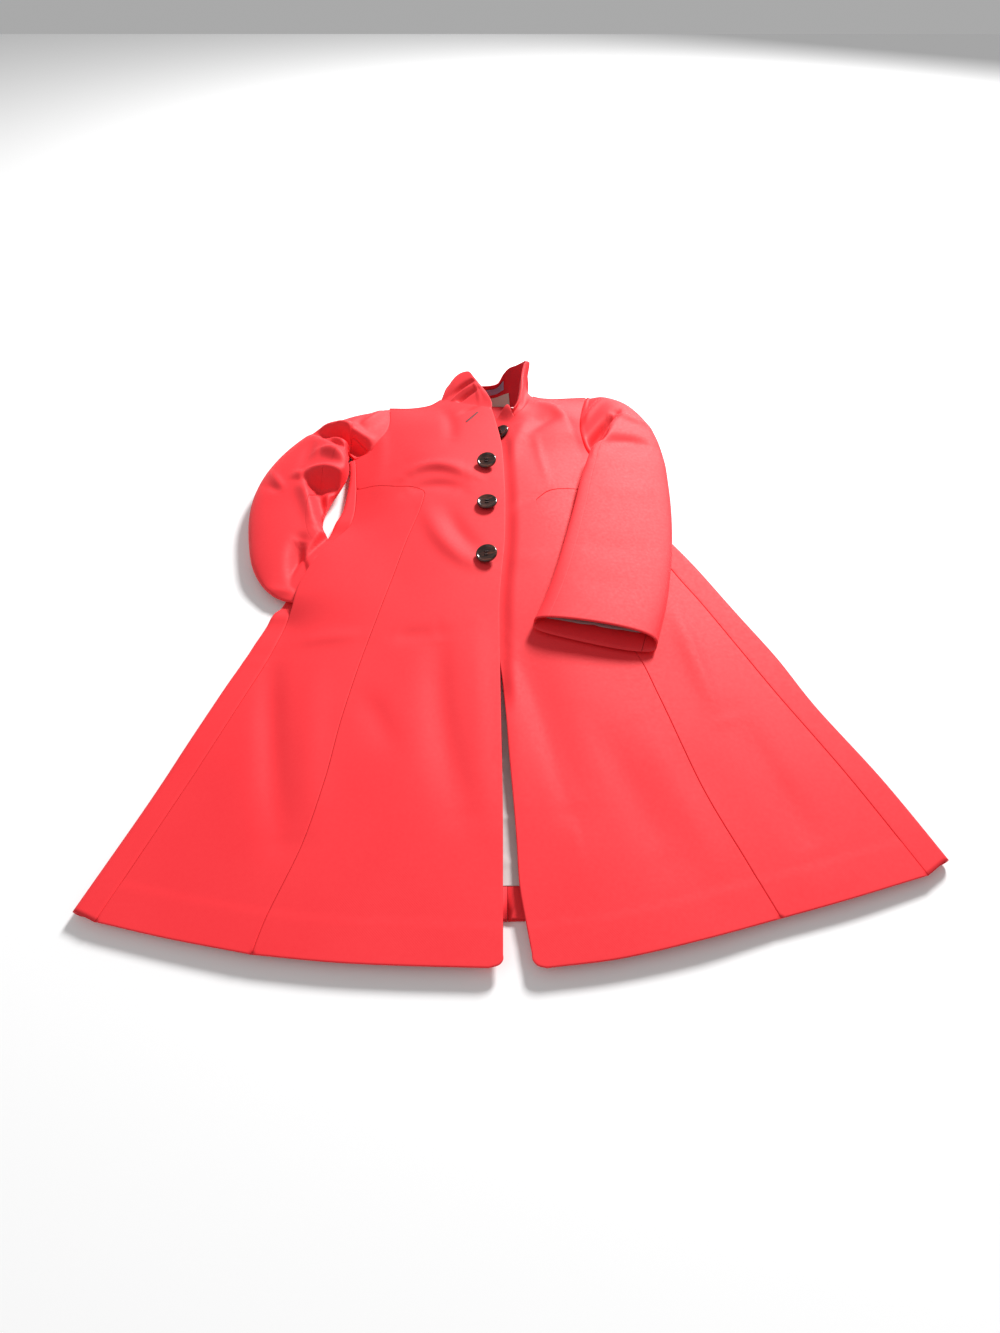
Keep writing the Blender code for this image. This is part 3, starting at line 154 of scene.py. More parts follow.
# %% Necklines, shoulders and armholes
NECKLINE_LEFT = [(0.0235, 0.853), (0.036, 0.866), (0.046, 0.890), (0.052, 0.908), (0.056, 0.921)]
NECKLINE_RIGHT = [(-0.0135, 0.868), (-0.033, 0.877), (-0.055, 0.888), (-0.078, 0.903),
                  (-0.1005, 0.9205)]
SHOULDER_RIGHT = [(-0.1005, 0.9205), (-0.115, 0.907), (-0.130, 0.902), (-0.160, 0.899),
                  (-0.186, 0.900)]
SHOULDER_LEFT = [(0.056, 0.921), (0.068, 0.918), (0.088, 0.921), (0.112, 0.926), (0.146, 0.927)]
ARMHOLE_RIGHT = [(-0.186, 0.900), (-0.181, 0.862), (-0.182, 0.832), (-0.191, 0.806),
                 (-0.205, 0.781), (-0.228, 0.768)]
ARMHOLE_LEFT = [(0.146, 0.927), (0.138, 0.895), (0.131, 0.850), (0.131, 0.810), (0.138, 0.775),
                (0.152, 0.748), (0.168, 0.738)]
print("neck opening:", round(NECKLINE_LEFT[-1][0] - NECKLINE_RIGHT[-1][0], 3), "m across")

# %% [markdown]
# The side seams run up to the armholes. On the wearer's right a pocket's mouth is set into the
# seam, and the sleeve goes in there.

# %% Side seams and the pocket's mouth
SIDE_SEAM_RIGHT = [
    (-0.370, 0.041), (-0.338, 0.145), (-0.314, 0.225), (-0.279, 0.356), (-0.2645, 0.437),
]
POCKET_MOUTH_RIGHT = [(-0.2645, 0.437), (-0.2605, 0.476), (-0.253, 0.510), (-0.241, 0.542),
                      (-0.226, 0.575), (-0.214, 0.605)]
WAIST_RIGHT = [(-0.214, 0.605), (-0.212, 0.640), (-0.216, 0.690)]
CHEST_SIDE_RIGHT = [(-0.216, 0.690), (-0.222, 0.730), (-0.228, 0.768)]
SIDE_SEAM_LEFT = [(0.408, 0.085), (0.366, 0.193), (0.321, 0.296), (0.291, 0.370), (0.258, 0.451),
                  (0.234, 0.504), (0.196, 0.600), (0.178, 0.655), (0.173, 0.676)]
CHEST_SIDE_LEFT = [(0.173, 0.676), (0.169, 0.706), (0.168, 0.738)]
print("waist:", round(SIDE_SEAM_LEFT[6][0] - WAIST_RIGHT[0][0], 3), "m across, laid flat")

# %% [markdown]
# The princess seams shape the fronts from hem to bust, and a short seam leaves each of them under
# the bust. The hem is marked panel by panel, so that each panel's outline closes on itself.

# %% Princess seams, underbust seams and hems
PRINCESS_RIGHT = [
    (-0.220, 0.0115), (-0.213, 0.048), (-0.194, 0.116), (-0.183, 0.189), (-0.177, 0.264),
    (-0.166, 0.349), (-0.152, 0.425), (-0.140, 0.487), (-0.127, 0.556), (-0.113, 0.618),
    (-0.109, 0.652),
]
UNDERBUST_RIGHT = [(-0.109, 0.652), (-0.113, 0.664), (-0.126, 0.671), (-0.152, 0.675),
                   (-0.184, 0.685), (-0.216, 0.690)]
PRINCESS_LEFT = [
    (0.257, 0.0435), (0.237, 0.099), (0.210, 0.177), (0.182, 0.292), (0.164, 0.359),
    (0.130, 0.430), (0.100, 0.500), (0.074, 0.560), (0.056, 0.610), (0.0515, 0.636),
]
UNDERBUST_LEFT = [(0.0515, 0.636), (0.069, 0.655), (0.092, 0.664), (0.130, 0.670),
                  (0.173, 0.676)]
HEM_FRONT_RIGHT = [(-0.220, 0.0115), (-0.150, 0.005), (-0.089, 0.002), (-0.010, 0.000)]
HEM_SIDE_RIGHT = [(-0.370, 0.041), (-0.300, 0.026), (-0.220, 0.0115)]
HEM_FRONT_LEFT = [(0.041, 0.000), (0.107, 0.008), (0.182, 0.024), (0.257, 0.0435)]
HEM_SIDE_LEFT = [(0.257, 0.0435), (0.328, 0.062), (0.408, 0.085)]
print("hem:", round(HEM_SIDE_LEFT[-1][0] - HEM_SIDE_RIGHT[0][0], 3), "m across, laid flat")

# %% [markdown]
# The back lies on the floor, and at each side it turns up just inside the coat's outline. These
# lines are where it does.

# %% Outlines of the back
FOLD_RIGHT = [
    (-0.391, 0.050), (-0.354, 0.170), (-0.334, 0.244), (-0.298, 0.377), (-0.277, 0.456),
    (-0.258, 0.530), (-0.237, 0.600), (-0.226, 0.640), (-0.225, 0.690), (-0.227, 0.730),
    (-0.233, 0.764),
]
FOLD_LEFT = [
    (0.431, 0.100), (0.397, 0.190), (0.355, 0.283), (0.329, 0.357), (0.297, 0.431),
    (0.261, 0.516), (0.233, 0.573), (0.203, 0.630), (0.187, 0.680), (0.176, 0.734),
]
BACK_CENTRE = [(0.007, 0.045), (0.000, 0.330), (-0.009, 0.650), (-0.018, 0.945)]
BACK_HEM_RIGHT = [(0.007, 0.045), (-0.150, 0.040), (-0.300, 0.042), (-0.391, 0.050)]
BACK_HEM_LEFT = [(0.007, 0.045), (0.150, 0.050), (0.300, 0.070), (0.431, 0.100)]
BACK_NECK_RIGHT = [(-0.1005, 0.9205), (-0.086, 0.935), (-0.050, 0.943), (-0.018, 0.945)]
BACK_NECK_LEFT = [(-0.018, 0.945), (0.015, 0.945), (0.040, 0.937), (0.056, 0.921)]
print("back:", round(BACK_CENTRE[-1][1] - BACK_CENTRE[0][1], 3), "m long in the middle")

# %% [markdown]
# ## The form of the fronts
# Cloth that lies on a body of air has no flat parts and no kinks. A thin plate spline is the
# smoothest surface through a few height posts, so the fronts keep one continuous form even though
# five panels share it. It could be sculpted by hand, but the posts can be read and changed.

# %% A smooth surface through height posts
class Heights:
    def __init__(self, posts):
        posts = np.array(posts, float)
        self.at, z, n = posts[:, :2], posts[:, 2], len(posts)
        system = np.zeros((n + 3, n + 3))
        system[:n, :n] = self.kernel(self.at[:, None] - self.at[None])
        system[:n, n] = 1.0
        system[:n, n + 1:] = self.at
        system[n:, :n] = system[:n, n:].T
        self.weights = np.linalg.solve(system, np.concatenate([z, np.zeros(3)]))

    @staticmethod
    def kernel(offset):
        square = (offset**2).sum(-1) + 1e-12
        return square * np.log(square)

    def __call__(self, xy):
        n = len(self.at)
        return (self.kernel(xy[:, None] - self.at[None]) @ self.weights[:n]
                + self.weights[n] + xy @ self.weights[n + 1:])


tent = Heights([(0, 0, 0), (1, 0, 0), (0, 1, 0), (1, 1, 0), (0.5, 0.5, 1)])
print("a tent with one pole, beside the pole:", tent(np.array([[0.4, 0.5]])).round(2))

# %% [markdown]
# Each post is a place on the outer face of the fronts and the height there. The first table serves
# both fronts and the other two add what is different on each side: the pocket and the shoulder on
# the right one, the flap at the neck and the turned-back edge on the left one.

# %% The posts, as (x, y, z)
POSTS_BOTH = [
    (-0.396, 0.052, 0.0105), (-0.300, 0.028, 0.0115), (-0.220, 0.012, 0.0125),
    (-0.110, 0.002, 0.0130), (0.000, 0.000, 0.0130), (0.110, 0.008, 0.0130),
    (0.190, 0.027, 0.0140), (0.257, 0.044, 0.0125), (0.330, 0.062, 0.0130),
    (0.436, 0.100, 0.0105), (-0.352, 0.200, 0.0105), (-0.270, 0.200, 0.0150),
    (-0.182, 0.190, 0.0140), (-0.090, 0.200, 0.0175), (0.002, 0.200, 0.0165),
    (0.110, 0.200, 0.0185), (0.206, 0.190, 0.0150), (0.290, 0.200, 0.0165),
    (0.385, 0.220, 0.0110), (-0.298, 0.380, 0.0105), (-0.235, 0.380, 0.0160),
    (-0.161, 0.372, 0.0175), (-0.080, 0.380, 0.0225), (0.000, 0.380, 0.0225),
    (0.085, 0.380, 0.0220), (0.158, 0.372, 0.0185), (0.225, 0.380, 0.0185),
    (0.302, 0.400, 0.0110), (0.000, 0.500, 0.0305), (0.080, 0.500, 0.0300),
    (0.150, 0.500, 0.0250), (0.236, 0.520, 0.0125), (-0.140, 0.490, 0.0255),
    (-0.070, 0.500, 0.0300), (0.000, 0.600, 0.0370), (0.075, 0.600, 0.0355),
    (0.140, 0.600, 0.0250), (0.196, 0.620, 0.0125), (-0.128, 0.585, 0.0310),
    (-0.070, 0.600, 0.0360), (0.000, 0.680, 0.0415), (0.060, 0.690, 0.0400),
    (0.115, 0.690, 0.0310), (0.172, 0.700, 0.0140), (-0.120, 0.672, 0.0350),
    (-0.060, 0.680, 0.0400), (-0.180, 0.686, 0.0255), (-0.219, 0.690, 0.0130),
    (0.000, 0.760, 0.0425),
]
POSTS_RIGHT = [
    (-0.268, 0.416, 0.0115), (-0.2645, 0.437, 0.0180), (-0.2625, 0.455, 0.0225),
    (-0.258, 0.480, 0.0240), (-0.243, 0.533, 0.0240), (-0.227, 0.570, 0.0195),
    (-0.213, 0.606, 0.0135), (-0.213, 0.645, 0.0125),
    (-0.226, 0.745, 0.0135), (-0.205, 0.780, 0.0200), (-0.195, 0.720, 0.0215),
    (-0.130, 0.760, 0.0375), (-0.060, 0.760, 0.0420), (-0.187, 0.830, 0.0265),
    (-0.120, 0.840, 0.0370), (-0.060, 0.840, 0.0425), (-0.006, 0.820, 0.0440),
    (-0.0135, 0.868, 0.0455), (-0.184, 0.892, 0.0260), (-0.150, 0.903, 0.0250),
    (-0.118, 0.908, 0.0275), (-0.1005, 0.9235, 0.0295), (-0.078, 0.903, 0.0360),
    (-0.055, 0.888, 0.0410),
]
POSTS_LEFT = [
    (0.050, 0.760, 0.0420), (0.100, 0.755, 0.0365), (0.150, 0.745, 0.0220),
    (0.168, 0.738, 0.0150), (-0.035, 0.770, 0.0350), (-0.004, 0.778, 0.0405),
    (0.009, 0.786, 0.0425), (0.021, 0.802, 0.0440), (0.0275, 0.824, 0.0430),
    (0.004, 0.808, 0.0360), (0.014, 0.818, 0.0385), (-0.010, 0.800, 0.0330),
    (-0.012, 0.822, 0.0300), (0.000, 0.836, 0.0305), (0.010, 0.848, 0.0345),
    (-0.014, 0.848, 0.0310), (0.001, 0.859, 0.0370), (0.0125, 0.869, 0.0475),
    (0.0235, 0.853, 0.0405),
    (0.060, 0.840, 0.0400), (0.046, 0.890, 0.0405), (0.056, 0.924, 0.0350),
    (0.075, 0.890, 0.0400), (0.088, 0.926, 0.0300), (0.112, 0.930, 0.0285),
    (0.150, 0.933, 0.0300), (0.105, 0.860, 0.0430), (0.136, 0.890, 0.0270),
    (0.132, 0.840, 0.0250), (0.134, 0.790, 0.0240), (0.110, 0.800, 0.0420),
]
SURFACE_RIGHT = Heights(POSTS_BOTH + POSTS_RIGHT)
SURFACE_LEFT = Heights(POSTS_BOTH + POSTS_LEFT)
print("highest posts:", max(z for x, y, z in POSTS_RIGHT), max(z for x, y, z in POSTS_LEFT))

# %% [markdown]
# ## Folds
# A crease in cloth is a soft ridge or trough along a bent line, steeper on one side than on the
# other, that fades out at both ends. Each row of a table is one such crease, placed where the coat
# shows it: three points of its line, its height, and how far it spreads to its left and right. A
# simulation would give other folds at every change, and these have to stay where they are.

# %% One crease, and the sum of a table of them
LINE_STEPS = 32
REACH = 3.2              # beyond this many spreads a crease adds nothing that shows


def fold_height(xy, folds):
    """How much the creases of a table lift or sink each point."""
    added = np.zeros(len(xy))
    for path, height, left, right in folds:
        a, b, c = (np.array(p, float) for p in path)
        t = np.linspace(0.0, 1.0, LINE_STEPS + 1)[:, None]
        line = (1 - t)**2 * a + 2 * t * (1 - t) * b + t**2 * c
        reach = REACH * max(left, right)
        close = ((xy > line.min(0) - reach) & (xy < line.max(0) + reach)).all(1)
        offset = xy[close][:, None] - line[None]
        nearest = (offset**2).sum(-1).argmin(1)
        along = np.gradient(line, axis=0)[nearest]
        away = offset[np.arange(len(nearest)), nearest]
        turn = along[:, 0] * away[:, 1] - along[:, 1] * away[:, 0]
        width = np.where(turn > 0, left, right)
        fade = np.sin(np.pi * np.clip(nearest / LINE_STEPS, 0.04, 0.96))**0.6
        added[close] += height * fade * np.exp(-(away**2).sum(-1) / width**2)
    return added


one = [(((0, 0), (0.1, 0), (0.2, 0)), 0.004, 0.01, 0.01)]
print("a 4 mm ridge in its middle:", fold_height(np.array([[0.1, 0.0]]), one).round(4))

# %% [markdown]
# On the right front the cloth pulls from the bust to the buttons and hangs in long soft troughs
# down the skirt. The left one has its deepest creases beside the collar and next to the sleeve.

# %% Creases of the fronts: (line, height, spread to the left, spread to the right)
FOLDS_RIGHT = [
    (((-0.143, 0.693), (-0.099, 0.736), (-0.042, 0.685)), 0.0064, 0.015, 0.009),
    (((-0.150, 0.735), (-0.095, 0.760), (-0.035, 0.700)), 0.0020, 0.034, 0.018),
    (((-0.136, 0.658), (-0.096, 0.686), (-0.056, 0.658)), -0.0046, 0.010, 0.014),
    (((-0.108, 0.628), (-0.083, 0.525), (-0.023, 0.499)), 0.0040, 0.016, 0.011),
    (((-0.073, 0.614), (-0.060, 0.562), (-0.027, 0.530)), -0.0026, 0.012, 0.012),
    (((-0.072, 0.386), (-0.075, 0.274), (-0.038, 0.150)), -0.0042, 0.016, 0.020),
    (((-0.029, 0.405), (-0.025, 0.261), (-0.012, 0.134)), 0.0014, 0.014, 0.014),
    (((-0.274, 0.359), (-0.258, 0.251), (-0.217, 0.120)), -0.0046, 0.016, 0.015),
    (((-0.221, 0.342), (-0.209, 0.237), (-0.185, 0.137)), 0.0018, 0.018, 0.016),
    (((-0.158, 0.299), (-0.134, 0.270), (-0.115, 0.221)), -0.0018, 0.014, 0.016),
    (((-0.130, 0.388), (-0.104, 0.384), (-0.080, 0.392)), -0.0020, 0.012, 0.012),
    (((-0.245, 0.381), (-0.207, 0.386), (-0.169, 0.390)), 0.0018, 0.011, 0.009),
    (((-0.213, 0.878), (-0.179, 0.800), (-0.184, 0.701)), 0.0026, 0.011, 0.014),
    (((-0.094, 0.879), (-0.073, 0.838), (-0.077, 0.778)), -0.0032, 0.010, 0.012),
    (((-0.067, 0.858), (-0.053, 0.868), (-0.038, 0.874)), -0.0034, 0.004, 0.005),
]
FOLDS_LEFT = [
    (((0.062, 0.894), (0.114, 0.882), (0.124, 0.752)), 0.0046, 0.009, 0.013),
    (((0.042, 0.787), (0.069, 0.840), (0.117, 0.869)), -0.0044, 0.010, 0.010),
    (((0.056, 0.788), (0.062, 0.731), (0.072, 0.671)), 0.0018, 0.005, 0.008),
    (((0.013, 0.723), (0.025, 0.787), (0.048, 0.856)), 0.0026, 0.010, 0.012),
    (((0.012, 0.610), (0.042, 0.641), (0.088, 0.657)), -0.0022, 0.010, 0.012),
    (((0.011, 0.511), (0.035, 0.511), (0.064, 0.527)), 0.0010, 0.014, 0.014),
    (((0.019, 0.365), (0.045, 0.287), (0.072, 0.151)), -0.0050, 0.034, 0.014),
    (((0.006, 0.381), (0.013, 0.262), (0.020, 0.162)), 0.0016, 0.014, 0.010),
    (((0.103, 0.264), (0.134, 0.184), (0.160, 0.102)), -0.0024, 0.020, 0.020),
    (((0.156, 0.265), (0.190, 0.160), (0.214, 0.072)), 0.0018, 0.018, 0.018),
    (((0.220, 0.446), (0.232, 0.349), (0.246, 0.264)), 0.0034, 0.010, 0.014),
    (((0.263, 0.274), (0.288, 0.185), (0.308, 0.104)), -0.0030, 0.018, 0.020),
]
print("creases:", len(FOLDS_RIGHT), "right,", len(FOLDS_LEFT), "left")

# %% [markdown]
# The right front buttons over the left one. Under the overlap the left front has to stay below the
# right one and crease with it, or it would come through, so its height there is the right one's
# creases on its own form, lowered by a cloth and some air.

# %% The height of each front
UNDERLAP_DROP = 0.0056   # how far the left front lies below the right one's outer face
UNDERLAP_BLEND = 0.018   # beyond the right front's edge it comes up again over this width
UNDERLAP_SPAN = (0.26, 0.31, 0.80, 0.85)  # where along the front that starts and stops
EDGE_RIGHT_LINE = spline(FRONT_EDGE_RIGHT, 12)


def height_right(xy):
    return SURFACE_RIGHT(xy) + fold_height(xy, FOLDS_RIGHT)


def height_left(xy):
    """The left front. Wherever the right one covers it, it dips below that and folds with it."""
    edge = np.interp(xy[:, 1], EDGE_RIGHT_LINE[:, 1], EDGE_RIGHT_LINE[:, 0])
    cover = smooth((edge + UNDERLAP_BLEND - xy[:, 0]) / (UNDERLAP_BLEND - 0.002))
    low, full, fade, gone = UNDERLAP_SPAN
    cover *= smooth((xy[:, 1] - low) / (full - low))
    cover *= 1.0 - smooth((xy[:, 1] - fade) / (gone - fade))
    folds = fold_height(xy, FOLDS_LEFT) * (1.0 - cover) + fold_height(xy, FOLDS_RIGHT) * cover
    return SURFACE_LEFT(xy) + folds - UNDERLAP_DROP * cover


def rise_of(height, xy, d=0.002):
    """How steeply the cloth rises at each point, in x and in y."""
    return ((height(xy + (d, 0)) - height(xy - (d, 0))) / (2 * d),
            (height(xy + (0, d)) - height(xy - (0, d))) / (2 * d))


def slope(height, xy):
    """How much longer the cloth is than its plan at each point."""
    dx, dy = rise_of(height, xy)
    return np.sqrt(1.0 + dx**2 + dy**2)


print("height at the bust:", round(float(height_right(np.array([[-0.06, 0.76]]))[0]), 4), "m")

# %% [markdown]
# ## From an outline to a wall of cloth
# A panel is filled with even triangles inside its outline, with a few extra rows of points close
# to the edge so that the edge can turn over. Each point then gets its height, a second layer lies
# one cloth thickness below, and the two are joined round the edge. Blender's Solidify could make
# the second layer, but here every point's edge distance is known, which rounds free edges and
# presses seams into grooves in the same step.

# %% Distances to lines and outlines
def by_parts(work, xy, size=1500):
    """Runs a function on the points a part at a time, to keep its tables small."""
    return np.concatenate([work(xy[i:i + size]) for i in range(0, len(xy), size)])


def distance_to(xy, line):
    """How far each point lies from an open line of points."""
    a, run = line[:-1], np.diff(line, axis=0)
    length = (run**2).sum(-1) + 1e-15

    def near(part):
        share = np.clip(((part[:, None] - a[None]) * run[None]).sum(-1) / length, 0, 1)
        return np.sqrt(((part[:, None] - a[None] - share[..., None] * run[None])**2).sum(-1).min(1))
    return by_parts(near, xy)


def is_inside(xy, outline):
    a, b = outline, np.roll(outline, -1, axis=0)
    tilt = (b - a)[:, 0] / ((b - a)[:, 1] + 1e-15)

    def count(part):
        spans = (a[None, :, 1] > part[:, None, 1]) != (b[None, :, 1] > part[:, None, 1])
        left = part[:, None, 0] < tilt[None] * (part[:, None, 1] - a[None, :, 1]) + a[None, :, 0]
        return (spans & left).sum(1) % 2 == 1
    return by_parts(count, xy)


def distance_outside(xy, outline):
    """How far each point lies outside a closed outline, less than nothing inside it."""
    near = distance_to(xy, np.vstack([outline, outline[:1]]))
    return np.where(is_inside(xy, outline), -near, near)


unit = np.array([(0.0, 0.0), (1.0, 0.0), (1.0, 1.0), (0.0, 1.0)])
print("from a square's middle to its edge:", distance_outside(np.array([[0.5, 0.5]]), unit))

# %% [markdown]
# Filling means: even points on a triangular grid, extra rows just inside the edge, and Blender's
# own triangulation to join them. It keeps the outline exactly and makes no thin slivers.

# %% Filling an outline
def inset(outline, distance):
    """Moves each point of a closed, anticlockwise outline inwards."""
    along = np.roll(outline, -1, axis=0) - np.roll(outline, 1, axis=0)
    inward = np.stack([-along[:, 1], along[:, 0]], axis=1)
    return outline + distance * inward / (np.linalg.norm(inward, axis=1)[:, None] + 1e-12)


EDGE_ROWS = (0.00012, 0.0004, 0.0008, 0.0014, 0.0030)  # how far in from the edge
ROW_HEIGHT = 0.87        # of an even triangle with side 1
KEEP_OFF = 0.45          # steps between the innermost row and the grid


def filled(outline, step=FINE, rows=EDGE_ROWS):
    """Even triangles inside an anticlockwise outline, with rows of points just inside its edge."""
    low, high = outline.min(0), outline.max(0)
    y, x = np.mgrid[low[1]:high[1]:step * ROW_HEIGHT, low[0]:high[0] + step:step]
    x[1::2] += 0.5 * step
    grid = np.column_stack([x.ravel(), y.ravel()])
    apart = (rows[-1] if rows else 0.0) + KEEP_OFF * step
    grid = grid[distance_outside(grid, outline) < -apart]
    rings = [inset(outline, d) for d in rows]
    rings = [ring[distance_outside(ring, outline) < -0.8 * d] for ring, d in zip(rings, rows)]
    points = [Vector(p) for p in np.vstack([outline] + rings + [grid])]
    found = delaunay_2d_cdt(points, [], [list(range(len(outline)))], 1, 1e-7)
    return np.array([tuple(p) for p in found[0]]), [tuple(f) for f in found[2]]


def grid_faces(rows, columns, closed=False):
    """The quads of a grid of points stored row by row, which may close round each row."""
    return [(r * columns + c, r * columns + (c + 1) % columns,
             (r + 1) * columns + (c + 1) % columns, (r + 1) * columns + c)
            for r in range(rows - 1) for c in range(columns if closed else columns - 1)]


print("a 10 cm square at 2 cm:", len(filled(0.1 * unit, 0.02, ())[1]), "triangles")

# %% [markdown]
# A wall is an outer and an inner layer that share their faces, joined round the rim. Its faces are
# turned outwards by the sign of its volume. `sewn` first joins patches that meet along a line,
# such as a front and the collar that grows from it.

# %% Walls of cloth
def turned_over(faces):
    return [tuple(reversed(f)) for f in faces]


def new_piece(name, points, faces, mat):
    """A smooth-shaded object, moved from the garment's own marks into the frame."""
    mesh = bpy.data.meshes.new(name)
    mesh.from_pydata((np.asarray(points) + ORIGIN).tolist(), [], faces)
    mesh.materials.append(mat)
    mesh.polygons.foreach_set("use_smooth", [True] * len(mesh.polygons))
    mesh.update()
    obj = bpy.data.objects.new(name, mesh)
    bpy.context.scene.collection.objects.link(obj)
    return obj


def wall(name, top, bottom, faces, mat):
    """A closed wall between two layers that share their triangles, turned so that it faces out."""
    n = len(top)
    count = {}
    for f in faces:
        for edge in zip(f, f[1:] + f[:1]):
            count[edge] = count.get(edge, 0) + 1
    rim = [(b, a, a + n, b + n) for a, b in count if (b, a) not in count]
    points = np.vstack([top, bottom])
    faces = list(faces) + [tuple(i + n for i in reversed(f)) for f in faces] + rim
    corners = np.array([f[:3] for f in faces] + [(f[0],) + f[2:] for f in faces if len(f) == 4])
    a, b, c = (points[corners[:, i]] for i in range(3))
    if (a * np.cross(b, c)).sum() < 0:
        faces = turned_over(faces)
    return new_piece(name, points, faces, mat)


def sewn(name, patches, mat):
    """One wall from patches of outer points, inner points and faces, joined where they meet."""
    outer, inner, faces, count = [], [], [], 0
    for patch_outer, patch_inner, patch_faces in patches:
        outer.append(patch_outer)
        inner.append(patch_inner)
        faces += [tuple(i + count for i in f) for f in patch_faces]
        count += len(patch_outer)
    outer, inner = np.vstack(outer), np.vstack(inner)
    first = {}
    index = [first.setdefault(tuple(np.round(p, 5) + 0.0), i) for i, p in enumerate(outer)]
    used = sorted(set(index))
    place = {old: new for new, old in enumerate(used)}
    merged = [tuple(place[index[i]] for i in f) for f in faces]
    return wall(name, outer[used], inner[used], [f for f in merged if len(set(f)) == len(f)], mat)


def turned_down(distance, radius):
    """How far a rounded edge lies below the face, this far in from the edge."""
    t = np.clip(1.0 - distance / radius, 0.0, 1.0)
    return radius * (1.0 - np.sqrt(np.maximum(1.0 - t * t, 0.0)))


print("an edge of radius 1 mm, at its rim:", turned_down(np.array([0.0]), 0.001), "m down")

# %% [markdown]
# ## What the cloth looks like
# The coat is smooth wool crepe: a fine pebbled weave with a short nap that catches light at a
# grazing angle. The weave and the uneven dye are used by the coat, its trims and its lining, so
# they are one shader node group with its own inputs. It puts out a tone and a height only; the
# shader itself, with its sheen, stays in each material.

# %% Node helpers
def add_node(tree, kind, x, y, **settings):
    node = tree.nodes.new(kind)
    node.location = (x, y)
    for key, value in settings.items():
        setattr(node, key, value)
    return node


def maths(tree, operation, x, y, *values):
    """A Math node whose inputs are numbers or the outputs of other nodes."""
    node = add_node(tree, "ShaderNodeMath", x, y, operation=operation)
    for socket, value in zip(node.inputs, values):
        if isinstance(value, bpy.types.NodeSocket):
            tree.links.new(value, socket)
        else:
            socket.default_value = value
    return node.outputs[0]


def new_material(name):
    """A material with its node tree and its Principled BSDF."""
    mat = bpy.data.materials.new(name)
    mat.use_nodes = True
    return mat, mat.node_tree, mat.node_tree.nodes["Principled BSDF"]


print("node helpers:", add_node.__name__, maths.__name__, new_material.__name__)

# %% [markdown]
# Two crossed sine waves are the threads, one fine noise the pebbled surface, a coarser one the nap
# and the coarsest the dye. The output roughness follows the nap, and the tone mixes all of them.

# %% The weave group
def make_weave_group():
    group = bpy.data.node_groups.new("woven_cloth", "ShaderNodeTree")
    made = {}
    for name, kind, default in (("Colour", "NodeSocketColor", (0.8, 0.1, 0.1, 1.0)),
                                ("Deep Colour", "NodeSocketColor", (0.6, 0.0, 0.0, 1.0)),
                                ("Threads", "NodeSocketFloat", 1400.0),
                                ("Unevenness", "NodeSocketFloat", 0.3),
                                ("Pebble", "NodeSocketFloat", 0.5)):
        socket = group.interface.new_socket(name, in_out="INPUT", socket_type=kind)
        socket.default_value = default
    for name, kind in (("Colour", "NodeSocketColor"), ("Roughness", "NodeSocketFloat"),
                       ("Height", "NodeSocketFloat")):
        group.interface.new_socket(name, in_out="OUTPUT", socket_type=kind)
    source = add_node(group, "NodeGroupInput", -1100, 0)
    out = add_node(group, "NodeGroupOutput", 700, 0)
    place = add_node(group, "ShaderNodeTexCoord", -1100, -300)
    split = add_node(group, "ShaderNodeSeparateXYZ", -900, -300)
    link = group.links.new
    link(place.outputs["Object"], split.inputs[0])
    warp = maths(group, "SINE", -500, -200, maths(
        group, "MULTIPLY", -700, -200, split.outputs["X"], source.outputs["Threads"]))
    weft = maths(group, "SINE", -500, -350, maths(
        group, "MULTIPLY", -700, -350, split.outputs["Y"], source.outputs["Threads"]))
    made["weave"] = maths(group, "MULTIPLY", -300, -250, warp, weft)
    for name, scale, detail, y in (("pebble", 2400.0, 2.0, -500), ("nap", 260.0, 3.0, -700),
                                   ("dye", 9.0, 3.0, -900)):
        noise = add_node(group, "ShaderNodeTexNoise", -500, y)
        noise.inputs["Scale"].default_value = scale
        noise.inputs["Detail"].default_value = detail
        link(place.outputs["Object"], noise.inputs["Vector"])
        made[name] = noise.outputs[0]
    relief = maths(group, "MULTIPLY_ADD", -100, -350, made["weave"], 0.35, maths(
        group, "MULTIPLY", -300, -500, made["pebble"], source.outputs["Pebble"]))
    link(maths(group, "MULTIPLY_ADD", 100, -350, made["nap"], 0.25, relief), out.inputs["Height"])
    patchy = maths(group, "MULTIPLY_ADD", 100, -700, made["nap"], 0.35, made["dye"])
    uneven = maths(group, "MULTIPLY", 300, -600, maths(
        group, "SUBTRACT", 200, -700, patchy, 0.55), source.outputs["Unevenness"])
    blend = add_node(group, "ShaderNodeMix", 450, 100, data_type="RGBA")
    link(maths(group, "ADD", 350, -500, uneven, 0.25), blend.inputs["Factor"])
    link(source.outputs["Colour"], blend.inputs["A"])
    link(source.outputs["Deep Colour"], blend.inputs["B"])
    link(blend.outputs["Result"], out.inputs["Colour"])
    link(maths(group, "MULTIPLY_ADD", 300, -850, made["nap"], 0.14, 0.60), out.inputs["Roughness"])
    return group


WEAVE = make_weave_group()
print("weave group inputs:", [s.name for s in WEAVE.interface.items_tree if s.in_out == "INPUT"])
